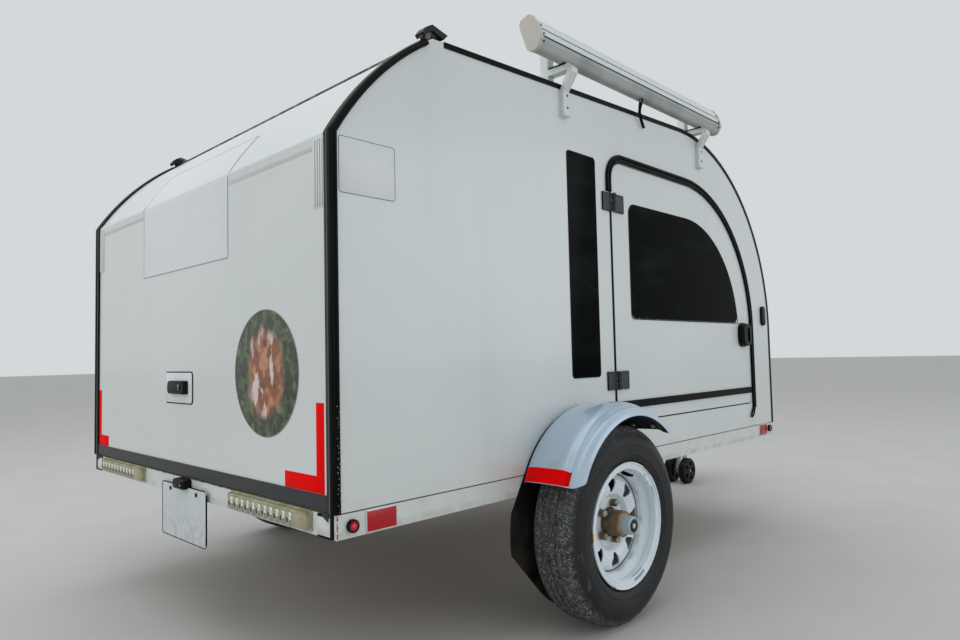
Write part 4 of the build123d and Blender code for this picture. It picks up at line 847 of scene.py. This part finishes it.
# Number plate's rim and bolts, and the lamp over it with its screw
rim_path = rounded(629.7, 940.3, -184.8, -24.5, 10)
rolled = ((-0.2, 6.9), (-0.2, 10.8), (1.8, 10.9), (2.2, 9.9))
plate_rim = Shape().swept(rim_path, rolled, tail, True)
plate_rim.piece("plate_rim", "trailer", "plate", black)
bolts = Shape()
for u in (694.0, 876.0):
    screw_head(bolts, tail, u, -41.0, 6.5, 9.8, 3.4)
bolts.piece("plate_bolts", "trailer", "plate", dark_bolts)
lamp_body = Shape().slab(rounded(749, 823, -32, -3, 8), tail, 0.0, 27.0, 4.0)
lamp_body.slab(rounded(756, 816, -28, -8, 6), tail, 26.0, 30.0, 2.0)
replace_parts(lamp_body.piece("plate_lamp_cover", "trailer", "handle_plastic", plastic), "plate_lamp")
lamp_screw = Shape()
screw_head(lamp_screw, tail, 760.0, -18.0, 3.2, 29.5, 2.0)
lamp_screw.piece("plate_lamp_screws", "trailer", "handle_plastic", screws)

# Rear edging: a wide bead over the corner, a narrow one on the wall and a ribbed strip beside the hatch
cx, cz, radius = HATCH_ARC
first, last = atan2(CREASE - cz, -cx), radians(122.45)
edge_line = [(0.0, v) for v in divided(1.0, CREASE, 24)]
edge_line += [(cx + radius * cos(a), cz + radius * sin(a)) for a in divided(first, last, 30)[1:]]
corner_bead = (
    (4.6, -17), (6.6, -15.6), (8, -12), (8.5, -7), (7.9, -2), (6.4, 1.8), (4.4, 3.9), (3, 3), (3, -17),
)
wall_bead = (
    (1.5, 3.8), (0.5, 5.8), (-1.5, 7), (-4.5, 7.4), (-7.5, 6.7), (-9.2, 5), (-9.8, 3.8), (-9, 3), (1, 3),
)
inner_ribs = (
    (5, -28), (5.8, -27), (5.4, -25), (6, -24), (5.4, -22.5), (6, -21.5), (5.6, -19.4), (5, -19), (4, -19),
    (4, -28),
)
# A pale line between the ribbed strip and the corner bead: partly dust in the gap, partly a painted
# highlight.
inner_line = ((5, -18.4), (5.8, -18.2), (5.8, -17.3), (5, -17), (4, -17), (4, -18.4))
# Painted shade: a black strip that fills the gap beside the hatch, where the gap shows dark.
hatch_gap = ((-14, -32.4), (2.5, -32.4), (4, -31), (4, -28), (-14, -28))
for name, paint, profile in (
    ("rear_corner_bead", edging, corner_bead),
    ("rear_wall_bead", edging, wall_bead),
    ("rear_inner_ribs", worn_strip, inner_ribs),
    ("rear_inner_line", pale_line, inner_line),
    ("rear_hatch_gap", black, hatch_gap),
):
    both(name, "trailer", "black_trim", paint, lambda s, place: s.swept(edge_line, profile, place))

# Scuffed dots on the narrow bead, low on the wall
def scuffs(shape, place):
    for k in range(26):
        v = 6 + 9.1 * k + 4 * sin(5.1 * k)
        u = 3.0 + 2.6 * sin(2.7 * k)
        size = 0.9 + 0.7 * abs(sin(3.3 * k))
        shape.turned(((size, 6.4), (size * 0.8, 7.6), (size * 0.3, 7.8)), place, u, v, 7)


both("bead_scuffs", "trailer", "black_trim", pale_line, scuffs)

# Skirt: dark seam over it, dirt under the hatch rail, and the fittings of its rear corners
seam = rounded(1.5, 2425, -1.4, 1.4, 0.4, 1)
both("seam_line", "trailer", "white_panel", dirt_line, lambda s, p: s.slab(seam, p, 0.0, 0.35, 0.1))


def dirt_foot(u):
    """The ragged lower edge of the dirt under the hatch rail."""
    coarse = noise.noise(Vector((u / 23.0, 0.3, 0.1)))
    fine = noise.noise(Vector((u / 7.0, 3.3, 0.1)))
    return -2.4 - 2.2 * coarse - 1.5 * fine


rows = []
for u in divided(50, 1560, 300):
    v = dirt_foot(u)
    rows.append([tail(u, 0.2, 0.0), tail(u, 0.2, 0.5), tail(u, v - 1.2, 0.4), tail(u, v - 1.6, 0.0)])
Shape().rows(rows).piece("rear_dirt", "trailer", "white_panel", dirt_line)


def span(side, low, high, low_v, high_v, corner):
    """A rounded rectangle on the rear face, counted from the right wall or from the left one."""
    ends = (low, high) if side == "right" else (2 * HALF - high, 2 * HALF - low)
    return rounded(*ends, low_v, high_v, corner, 2)


covers, feet, strips, catches = Shape(), Shape(), Shape(), Shape()
for side in ("right", "left"):
    covers.slab(span(side, 22.5, 70.5, -53.5, -11.0, 1.5), tail, 0.0, 2.2, 0.6)
    feet.slab(span(side, 20, 71, -56.0, -52.0, 1.0), tail, 0.0, 4.5, 0.8)
    feet.slab(span(side, 58, 74, -12.0, -4.0, 2.0), tail, 0.0, 1.6, 0.4)
    strips.slab(span(side, 9.5, 21.5, -56.0, -1.0, 1.0), tail, 0.0, 3.4, 1.2)
    for k in range(6):
        low = 27.0 + 4.3 * k
        bottom = -19.0 + 2.6 * k if k < 4 else -11.0
        catches.slab(span(side, low, low + 3.4, bottom, 1.5, 1.2), tail, 0.0, 6.5 - 0.7 * abs(k - 2), 1.4)
covers.piece("skirt_covers", "trailer", "white_panel", white)
feet.piece("skirt_cover_feet", "trailer", "black_trim", black)
strips.piece("skirt_corner_strips", "trailer", "black_trim", edging)
catches.piece("hatch_catches", "trailer", "zinc_steel", worn_strip)
rust = Shape()
for side_place in (right, left):
    for k in range(7):
        v = -54 + 7.6 * k + 2 * sin(4.1 * k)
        rust.slab(rounded(0.2, 3.6 + 1.6 * sin(3.0 * k), v, v + 6.5, 1.0, 2), side_place, 0.0, 0.35, 0.1)
rust.piece("skirt_corner_rust", "trailer", "white_panel", rust_film)

# Markers: bezels, a painted pink highlight in the rear round one, and the pale tape edge round each
# reflector
REAR_MARKER, FRONT_MARKER = (40.0, -30.0), (2376.0, -24.0)
RED_REFLECTOR, AMBER_REFLECTOR = (79, 165, -52, -5), (2266, 2349, -48, -2)


def bezels(shape, place):
    profile = (
        (15.0, 0.0), (15.0, 8.4), (14.0, 10.2), (11.2, 10.4), (10.6, 9.2), (14.1, 8.8), (14.1, 0.0),
    )
    for u, v in (REAR_MARKER, FRONT_MARKER):
        shape.turned(profile, place, u, v, 36, ring=True)


def tape_edges(shape, place):
    for sides in (RED_REFLECTOR, AMBER_REFLECTOR):
        edge = ((-1.8, 0.0), (-1.8, 2.4), (0.6, 3.4), (1.0, 2.6))
        shape.swept(rounded(*sides, 5, 4), edge, place, True)


def reflector_face(low_u, high_u, low_v, high_v):
    face = rounded(low_u + 0.6, high_u - 0.6, low_v + 0.6, high_v - 0.6, 5, 4)
    return lambda shape, place: shape.slab(face, place, 2.6, 3.5, 0.3)


def marker_highlight(shape, place):
    shape.turned(((6.0, 8.0), (5.2, 10.0), (3.0, 11.0), (0.8, 11.3)), place, *REAR_MARKER, 24)


both("marker_bezels", "trailer", "handle_plastic", plastic, bezels)
both("reflector_edges", "trailer", "white_panel", film_white, tape_edges)
both("reflector_red", "trailer", "red_lens", red, reflector_face(*RED_REFLECTOR))
both("reflector_amber", "trailer", "amber_lens", amber, reflector_face(*AMBER_REFLECTOR))
both("marker_highlight", "trailer", "red_lens", marker_highlight_paint, marker_highlight)


# Walls: bare sheets behind the edging, window gaskets and the joint in the strip window
SIDE_SHEET = rounded(16, 178, 719, 850, 7)


def side_sheet(shape, place):
    shape.slab(SIDE_SHEET, place, 0.05, 0.7, 0.2)


def side_sheet_edge(shape, place):
    shape.swept(SIDE_SHEET, ((-0.3, 0.05), (-0.3, 0.9), (1.3, 0.9), (1.3, 0.5)), place, True)


def strip_gasket(shape, place):
    lip = ((-2.0, 0.0), (-1.6, 1.4), (1.6, 1.6), (2.4, 0.6))
    shape.swept(rounded(873, 1025, 265, 988, 12), lip, place, True)
    shape.slab(rounded(875, 1023, 558.4, 561.6, 0.8, 1), place, 0.0, 0.6, 0.2)


both("side_sheet", "trailer", "white_panel", film_white, side_sheet)
both("side_sheet_edge", "trailer", "white_panel", thin_line, side_sheet_edge)
both("strip_gasket", "trailer", "black_trim", black, strip_gasket)


# Door: black strip of painted shade in the gap behind and under the leaf, rim of the glass with painted
# glints along its foot, hinge pins, handle pull
# Painted shade: a black strip that fills the door's gap, where the gap shows dark.
def gap_line(shape, place):
    rear, bottom, radius = DOOR
    profile = ((1.8, -14.0), (1.8, -1.2), (3.2, -0.6), (5.0, -0.6), (5.0, -14.0))
    wide = (
        (0.3, -14.0), (0.3, 1.2), (2.0, 2.0), (10.0, 2.0), (11.8, 0.6), (11.8, -0.4), (5.2, -0.4),
        (5.2, -14.0),
    )
    behind = [(rear, v) for v in divided(900.0, bottom - 4.9, 8)]
    under = [(u, bottom) for u in divided(rear, NOSE[0] + radius, 8)]
    for path, section in ((behind, wide), (under, profile)):
        shape.swept(path, [(-across, out) for across, out in section], place)


both("door_gap", "trailer", "black_trim", black, gap_line)


def glass_rim(shape, place):
    rear, foot, radius, middle_v = 1224.0, 458.0, 446.0, 420.0
    top_corner, foot_corner, start = 36.0, 20.0, 5.0
    nose_u, top = NOSE[0], middle_v + radius
    path = arc(nose_u, middle_v, radius, start, 90 - start, 28) + [(rear + top_corner, top)]
    path += arc(rear + top_corner, top - top_corner, top_corner, 90, 90, 8) + [(rear, foot + foot_corner)]
    path += arc(rear + foot_corner, foot + foot_corner, foot_corner, 180, 90, 6)
    path += [(u, foot) for u in divided(rear + 40.0, nose_u + radius - 30.0, 10)]
    shape.swept(path, ((-1.4, 0.2), (-1.0, 2.0), (1.2, 2.2), (2.4, 1.6)), place, True)


def glass_foot(shape, place):
    # Painted highlights: short pale slabs along the foot of the glass.
    for k in range(34):
        u = 1240.0 + 24.2 * k
        shape.slab(rounded(u, u + 9 + 5 * sin(2.3 * k), 459.2, 461.2, 0.8, 1), place, 1.4, 2.3, 0.2)


both("glass_rim", "door_SIDE_leaf", "glass", black, glass_rim)
both("glass_foot_glints", "door_SIDE_leaf", "glass", pale_line, glass_foot)

HINGE_PIN = 1120.0
HINGE_FEET = (217.0, 823.0)
HINGE_HEIGHT = 62.0


def knuckle_screw(middle_v):
    """The screw in the middle of a hinge's knuckle."""
    head = ((3.6, 17.5), (3.6, 19.4), (2.8, 19.9), (1.6, 19.9), (1.4, 18.6))
    return lambda shape, place: shape.turned(head, place, HINGE_PIN, middle_v, 14)


def leaf_lips(low, high):
    """Folded lips round a hinge leaf, between two distances from the pin."""
    def make(shape, place):
        for foot in HINGE_FEET:
            path = rounded(HINGE_PIN + low, HINGE_PIN + high, foot, foot + HINGE_HEIGHT, 2.0, 2)
            shape.swept(path, ((0.0, 0.5), (0.0, 5.6), (2.4, 6.4), (4.2, 5.2)), place, True)
    return make


for foot in HINGE_FEET:
    for k, body in enumerate(("trailer", "door_SIDE_leaf", "trailer")):
        screw = knuckle_screw(foot + HINGE_HEIGHT * (k + 0.5) / 3)
        both("hinge_plug_%d_%d" % (foot, k), body, "hinge_metal", dark_bolts, screw)
both("hinge_lips_wall", "trailer", "hinge_metal", hinge, leaf_lips(-58.0, -10.5))
both("hinge_lips_door", "door_SIDE_leaf", "hinge_metal", hinge, leaf_lips(10.5, 68.0))

HANDLE = (2130.0, 408.0)
PORCH_LAMP = (2350.0, 497.0)


def handle_pull(shape, place):
    u, v = HANDLE
    rim_lip = ((-1.0, 26.0), (-0.5, 28.6), (2.0, 28.9), (3.2, 27.0))
    shape.swept(rounded(u - 8, u + 20, v - 34, v + 34, 13, 6), rim_lip, place, True)
    shape.slab(rounded(u - 4, u + 6, v - 24, v + 24, 4, 4), place, 16.0, 23.0, 2.0)
    foot_lip = ((-2.4, 0.0), (-2.0, 2.6), (0.6, 3.4), (1.0, 1.0))
    shape.swept(rounded(u - 45, u + 45, v - 51, v + 51, 33, 8), foot_lip, place, True)


def porch_glass(shape, place):
    u, v = PORCH_LAMP
    shape.slab(rounded(u - 14, u + 14, v - 38, v + 38, 13.5, 8), place, 11.0, 13.2, 1.6)


both("handle_pull", "door_SIDE_leaf", "handle_plastic", gloss_black, handle_pull)
both("porch_glass", "trailer", "handle_plastic", gloss_black, porch_glass)


# Seal: its lower end with a small turned hook
def seal_hook(shape, place):
    u = NOSE[0] + DOOR[2] + 5.0
    hook = (
        (13, 90), (12, 74), (5, 59), (-8, 46), (-20, 42), (-25, 49), (-20, 60), (-9, 71), (2, 80), (8, 88),
    )
    shape.tube([place(u + a, v, 5) for a, v in hook], 3.6, 10)


both("seal_hook", "trailer", "black_trim", black, seal_hook)

# Awning: screws of the end caps, painted shade in the grooves along the case, a painted shadow in the gap
# over each bracket, and the brackets' bolts
CASE = (714.0, 1886.0)
BRACKETS = (847.0, 1752.0)
cap_screws = Shape()
for u in (CASE[0] + 5.0, CASE[1] - 5.0):
    for out, v in ((34.5, 1329.0), (45.0, 1300.0), (44.0, 1277.0)):
        cap_screws.turned(((3.0, out - 1.0), (3.0, out + 1.4), (1.2, out + 1.8)), right, u, v, 12)
cap_screws.piece("awning_cap_screws", "trailer", "awning_end", dark_bolts)
# Painted shade: dark tubes laid in the two grooves along the case.
case_groove_shades = Shape()
for out, v, size in ((36.9, 1317.0, 1.7), (45.8, 1291.2, 2.0)):
    case_groove_shades.tube([right(u, v, out) for u in divided(*CASE, 6)], size, 10)
case_groove_shades.piece("awning_groove_shades", "trailer", "awning_shell", groove_shade_paint)
bracket_bolts, bracket_gap_shades, lips = Shape(), Shape(), Shape()
for low_u in BRACKETS:
    for v in (1118.0, 1157.0):
        screw_head(bracket_bolts, right, low_u + 21.0, v, 3.8, 13.9, 1.8)
    lips.slab(rounded(low_u - 1, low_u + 31, 1089, 1096, 1.5, 2), right, 0.0, 19.0, 1.0)
    # Painted shadow: a dark sliver along the gap between each bracket's arm and the case's underside.
    line = ((-3.0, 28.0), (-4.0, 10.0), (-5.0, -12.0), (-6.0, -38.0))
    bracket_gap_shades.tube([right(low_u + a, 1251.6, out) for a, out in line], 3.0, 8, 0.5)
bracket_bolts.piece("bracket_bolts", "trailer", "white_panel", dark_bolts)
lips.piece("bracket_feet", "trailer", "white_panel", white)
bracket_gap_shades.piece("bracket_gap_shadows", "trailer", "black_trim", black)

# Awning: black webbing strap that hangs from the case over the roof's edge, and its short end
STRAP = (
    (1306, 1254, 24), (1296, 1250, 32), (1286, 1242, 36), (1283, 1232, 33), (1289, 1222, 24),
    (1299, 1210, 15), (1311, 1196, 10), (1325, 1178, 8), (1338, 1160, 7.5),
)
SHORT_END = ((1300, 1254, 16), (1292, 1240, 22), (1296, 1226, 17), (1304, 1214, 12))
strap = Shape().tube([right(*p) for p in STRAP], 5.5, 12, 0.35)
strap.tube([right(*p) for p in SHORT_END], 4.0, 10, 0.5)
strap.piece("awning_strap", "trailer", "black_trim", webbing())

# Fender: its skin as (out from the wall, radius), tape at its rear end, lining, fine bead and bolts
FENDER_SKIN = (
    (3, 296), (12, 306), (24, 313.5), (38, 319), (85, 323), (135, 325), (151, 322), (163, 315), (178, 313),
    (192, 309), (200, 300), (205, 288),
)
SKIN_OUTS = (
    3, 7, 12, 24, 38, 60, 85, 110, 135, 143, 151, 157, 163, 171, 178, 185, 190, 194, 197, 200, 202, 204,
    204.9,
)
LINING_OUTS = (4, 12, 24, 38, 60, 85, 110, 135, 151, 163, 178, 185, 192, 199)
TAPE_OUTS = (12, 24, 38, 60, 85, 110, 135, 145, 151, 157, 161)
FOLD_OUTS = (160.5, 163, 168, 172)
CORNER = 28.0  # radius of the fender's outer corners
CORNER_OUT = 177.0  # where they start, out from the wall
FENDER_START, FENDER_SWEEP = 43.3, 114.9


def fender_point(place, angle, out, lift=0.0):
    """A point over the fender's skin at an angle about its centre and a distance from the wall."""
    reach = FENDER_SKIN[-1][1]
    for (a, low), (b, high) in zip(FENDER_SKIN, FENDER_SKIN[1:]):
        if a <= out <= b:
            reach = low + (high - low) * (out - a) / (b - a)
    return place(*around(FENDER, angle, reach + lift), out)


def fender_layer(shape, place, lines, low, high):
    """A layer between two heights over the skin, from lines of (angle, out)."""
    rows = []
    for line in lines:
        under = [fender_point(place, angle, out, low) for angle, out in line]
        over = [fender_point(place, angle, out, high) for angle, out in line[::-1]]
        rows.append(under + over)
    shape.rows(rows)


def fender_sheet(shape, place, outs, low, high, inset=0.0):
    """The fender's whole sheet, its outer corners rounded."""
    def cut(out):
        past = max(0.0, out - CORNER_OUT)
        return degrees((inset + CORNER - (CORNER ** 2 - past ** 2) ** 0.5) / 300.0)

    def angle(t, out):
        return FENDER_START + cut(out) + t * (FENDER_SWEEP - 2 * cut(out))

    lines = [[(angle(t, out), out) for out in outs] for t in divided(0.0, 1.0, 72)]
    fender_layer(shape, place, lines, low, high)


def fender_tape(first, last, outs):
    """A strip of tape between two angles."""
    lines = [[(angle, out) for out in outs] for angle in divided(first, last, 8)]
    return lambda shape, place: fender_layer(shape, place, lines, -0.5, 0.8)


def fender_skin(shape, place):
    fender_sheet(shape, place, SKIN_OUTS, -2.6, 0.0)


def fender_lining(shape, place):
    fender_sheet(shape, place, LINING_OUTS, -3.6, -2.7, 1.0)


def fender_bead(shape, place):
    section = ((171.5, 313.8), (173.5, 314.6), (175.5, 313.4), (173.5, 311.5))
    angles = divided(43.6, 149.8, 70)
    shape.rows([[place(*around(FENDER, angle, reach), out) for out, reach in section] for angle in angles])


def fender_bolts(shape, place):
    angle, reach = 47.0, 318.4
    for out in (132.0, 60.0):
        for size, drop in ((7.0, 0.0), (4.4, 2.0)):
            ends = [place(*around(FENDER, angle, reach - drop - t), out) for t in (0, 1.2, 2.4)]
            shape.tube(ends, size, 14)


skins = both("fender_skin", "trailer", "fender_paint", fender, fender_skin)
for thing, side in zip(skins, ("right", "left")):
    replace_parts(thing, "fender_" + side)
both("fender_tape", "trailer", "red_lens", red_tape, fender_tape(150.4, 157.9, TAPE_OUTS))
both("fender_tape_fold", "trailer", "red_lens", fold_tape, fender_tape(150.6, 157.6, FOLD_OUTS))
both("fender_lining", "trailer", "liner_plastic", lining, fender_lining)
both("fender_fine_bead", "trailer", "fender_paint", fender, fender_bead)
both("fender_bolts", "trailer", "zinc_steel", bright_bolts, fender_bolts)

# Wheels: tyre with rounded shoulders and grooves, as (out from the wheel's middle, radius) round the axle
SIDEWALL = (
    (34, 290), (42, 289.2), (50, 287), (55.5, 283.6), (60, 279), (66.5, 270.5), (72, 262), (76.6, 252),
    (79.2, 245), (80, 240), (80.3, 234), (81.2, 233.2), (81.2, 231.2), (80.3, 230.4), (80.2, 224), (79, 215),
    (77.6, 208), (77.9, 207), (77.3, 205), (76, 204.2), (73.2, 196.5), (70, 190.5), (66.6, 187.6),
    (61.9, 186.5),
)
INNER = ((61.7, 165.4), (47.8, 165.4), (53.7, 188.5), (68, 218), (70.5, 238), (66, 258), (52, 273))
GROOVE = ((-4.0, 290), (-2.6, 286.5), (2.6, 286.5), (4.0, 290))
TREAD = tuple((middle + out, radius) for middle in (-22, 0, 22) for out, radius in GROOVE)
OUTER = SIDEWALL + INNER
TYRE = OUTER + tuple((-out, radius) for out, radius in OUTER[::-1]) + TREAD


def wheel_ring(name, slot, paint, profile, steps=96, sharp=38):
    """A closed profile turned about the axle, on both wheels."""
    def make(shape, place):
        section = [(radius, WHEEL_OUT + out) for out, radius in profile]
        shape.turned(section, place, *AXLE, steps, ring=True)
    return both(name, "wheel_SIDE", slot, paint, make, sharp)


for thing, side in zip(wheel_ring("tyre", "tyre", rubber_tyre, TYRE, 128, 32), ("right", "left")):
    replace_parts(thing, "wheel_tyre_" + side)

# Wheels: steps of the rim, the joint of its disc, and the rings at the hub's foot and cap
RIM_RINGS = {
    "rim_step_face": ((65.5, 176.3), (67.4, 175), (67.6, 171), (66, 169.4)),
    "rim_step_edge": ((65.5, 167), (66.9, 165.6), (66.9, 163.2), (65, 161.2), (63, 162)),
    "rim_step_barrel": ((57, 161.4), (55.6, 159.4), (52.4, 159.2), (50.4, 161.4)),
    "rim_step_inner": ((46.6, 161.4), (45.4, 159.8), (43, 159.6), (41, 161.4)),
    "rim_lip": ((70.6, 179.2), (72.2, 180.4), (72.4, 182.2), (70.8, 183), (69.6, 181.4)),
}
DISC_JOINT = ((9.2, 139.9), (10.2, 140.4), (9.3, 143.4), (8.2, 144))
CAP_SEAT = ((54.6, 27.2), (57.2, 27.6), (57.4, 30.4), (55.4, 31.6), (54.6, 31.6))
HUB_FOOT = ((3.8, 38.2), (6.5, 40), (4.5, 43), (3.8, 43.4))
for name, profile in RIM_RINGS.items():
    wheel_ring(name, "wheel_paint", rim, profile)
wheel_ring("rim_disc_joint", "wheel_paint", dirt_line, DISC_JOINT)
wheel_ring("hub_cap_seat", "hub_metal", cap_rust, CAP_SEAT)
wheel_ring("hub_foot", "hub_metal", dirt_line, HUB_FOOT)

# Wheels: nuts, cap, valve and balance weight
BOLT_REACH = 57.15
NUT_FACE = WHEEL_OUT + 19.5
CAP_FACE = WHEEL_OUT + 88.0


def raised(base, profile):
    """A profile of (radius, height) over a base."""
    return [(radius, base + height) for radius, height in profile]


def nut_ends(shape, place):
    end = raised(NUT_FACE, (
        (9.3, 0), (9.1, 1.6), (7.6, 3.4), (6.4, 3.8), (5.8, 3.0), (5.6, 4.8), (1.0, 5.2),
    ))
    seat = raised(WHEEL_OUT, ((12.6, 0), (12.6, 3), (11.4, 4.4), (9.0, 4.6)))
    for k in range(5):
        u, v = around(AXLE, 72 * k, BOLT_REACH)
        shape.turned(end, place, u, v, 18)
        shape.turned(seat, place, u, v, 24)


def cap_plug(shape, place):
    plug = raised(CAP_FACE, ((19.5, -0.5), (19.2, 1.2), (17.6, 1.8), (10.5, 1.6), (10.2, 0.4), (1.0, 0.3)))
    shape.turned(plug, place, *AXLE, 40)


def cap_centre(shape, place):
    shape.turned(raised(CAP_FACE, ((7.4, 0), (7.2, 1.5), (5.2, 2.2), (1.0, 2.4))), place, *AXLE, 28)


def valve(shape, place):
    u, v = around(AXLE, 76, 152.0)
    stem = ((u, v, 26), (u + 1, v - 5, 36), (u + 3, v - 9, 52))
    cap = ((u + 3, v - 9, 50), (u + 4, v - 10, 64))
    for line, size in ((stem, 5.6), (cap, 4.2)):
        shape.tube([place(a, b, WHEEL_OUT + out) for a, b, out in line], size, 12)


def balance(shape, place):
    section = ((159.5, 60), (166, 67.4), (172, 68.6), (172, 66), (162, 65.4), (160.6, 60))
    angles = divided(-80, -62, 8)
    shape.rows([
        [place(*around(AXLE, angle, radius), WHEEL_OUT + out) for radius, out in section] for angle in angles
    ])


both("nut_ends", "wheel_SIDE", "hub_metal", nuts, nut_ends)
both("cap_plug", "wheel_SIDE", "hub_metal", dark_bolts, cap_plug)
both("cap_centre", "wheel_SIDE", "hub_metal", bright_bolts, cap_centre)
both("wheel_valve", "wheel_SIDE", "tyre", black, valve)
both("balance_weight", "wheel_SIDE", "zinc_steel", weight, balance)

# Jack wheels: raised rings on their outer faces
JACK_WHEEL = (3010.0, 75.0 - SEAM)


def across(u, v, out):
    """A point at a distance to the left of the part's middle plane."""
    return (u - REAR, out, v + SEAM)


jack_rings = Shape()
for low, high, crest in ((-67.2, -66.4, -68.4), (66.4, 67.2, 68.4)):
    for reach in (30.0, 57.0):
        profile = ((reach, low), (reach + 2, crest), (reach + 5, low), (reach + 5, high))
        jack_rings.turned(profile, across, *JACK_WHEEL, 40, ring=True)
jack_rings.piece("jack_wheel_rings", "jack_roller", "jack_wheel_plastic", plastic)


# Camera where the photograph was taken, behind the right rear corner
CAMERA_PLACE = (-2.5805, -2.098, 0.798)
YAW, PITCH, ROLL = 44.2415, 2.968, -1.272
camera_data = bpy.data.cameras.new("camera")
camera_data.sensor_width = 36.0
camera_data.lens = 25.74
camera_data.clip_end = 200.0
camera = bpy.data.objects.new("camera", camera_data)
camera.matrix_world = (
    Matrix.Translation(CAMERA_PLACE)
    @ Matrix.Rotation(radians(YAW - 90), 4, "Z")
    @ Matrix.Rotation(radians(90 + PITCH), 4, "X")
    @ Matrix.Rotation(radians(ROLL), 4, "Z")
)
bpy.context.scene.collection.objects.link(camera)
bpy.context.scene.camera = camera

# Pale floor and soft light
floor_paint = Paint("floor", "#C2C2BF", 0.85)
floor_paint.over(floor_paint.noise(333.3, 0.3, 0.7), "#BBBBB8", 0.5)
bpy.ops.object.select_all(action="DESELECT")
bpy.ops.mesh.primitive_plane_add(size=120.0, location=(0, 0, 0))
floor = bpy.context.object
floor.name = floor.data.name = "floor"
floor.data.materials.append(floor_paint.done())


def softbox(name, place, size, power, colour="#FFFFFF", aim=(0, 0, 0.8)):
    """A large soft lamp aimed at the object."""
    data = bpy.data.lights.new(name, "AREA")
    data.shape = "RECTANGLE"
    data.size, data.size_y = size
    data.energy = power
    data.color = linear(colour)[:3]
    lamp = bpy.data.objects.new(name, data)
    lamp.location = place
    lamp.rotation_euler = (Vector(aim) - Vector(place)).to_track_quat("-Z", "Y").to_euler()
    bpy.context.scene.collection.objects.link(lamp)


softbox("sky", (-1.5, 0.5, 6.5), (7, 7), 150)
softbox("rear", (-7.5, 2.5, 3.2), (4, 3), 50)
softbox("side", (3.4, -6.6, 2.2), (5, 3), 62, "#F4F8FF")

world = bpy.data.worlds.new("studio")
bpy.context.scene.world = world
world.use_nodes = True
backdrop = world.node_tree.nodes["Background"]
backdrop.inputs["Color"].default_value = linear("#E4E8EA")
backdrop.inputs["Strength"].default_value = 0.85

bpy.context.scene.view_settings.view_transform = "Standard"
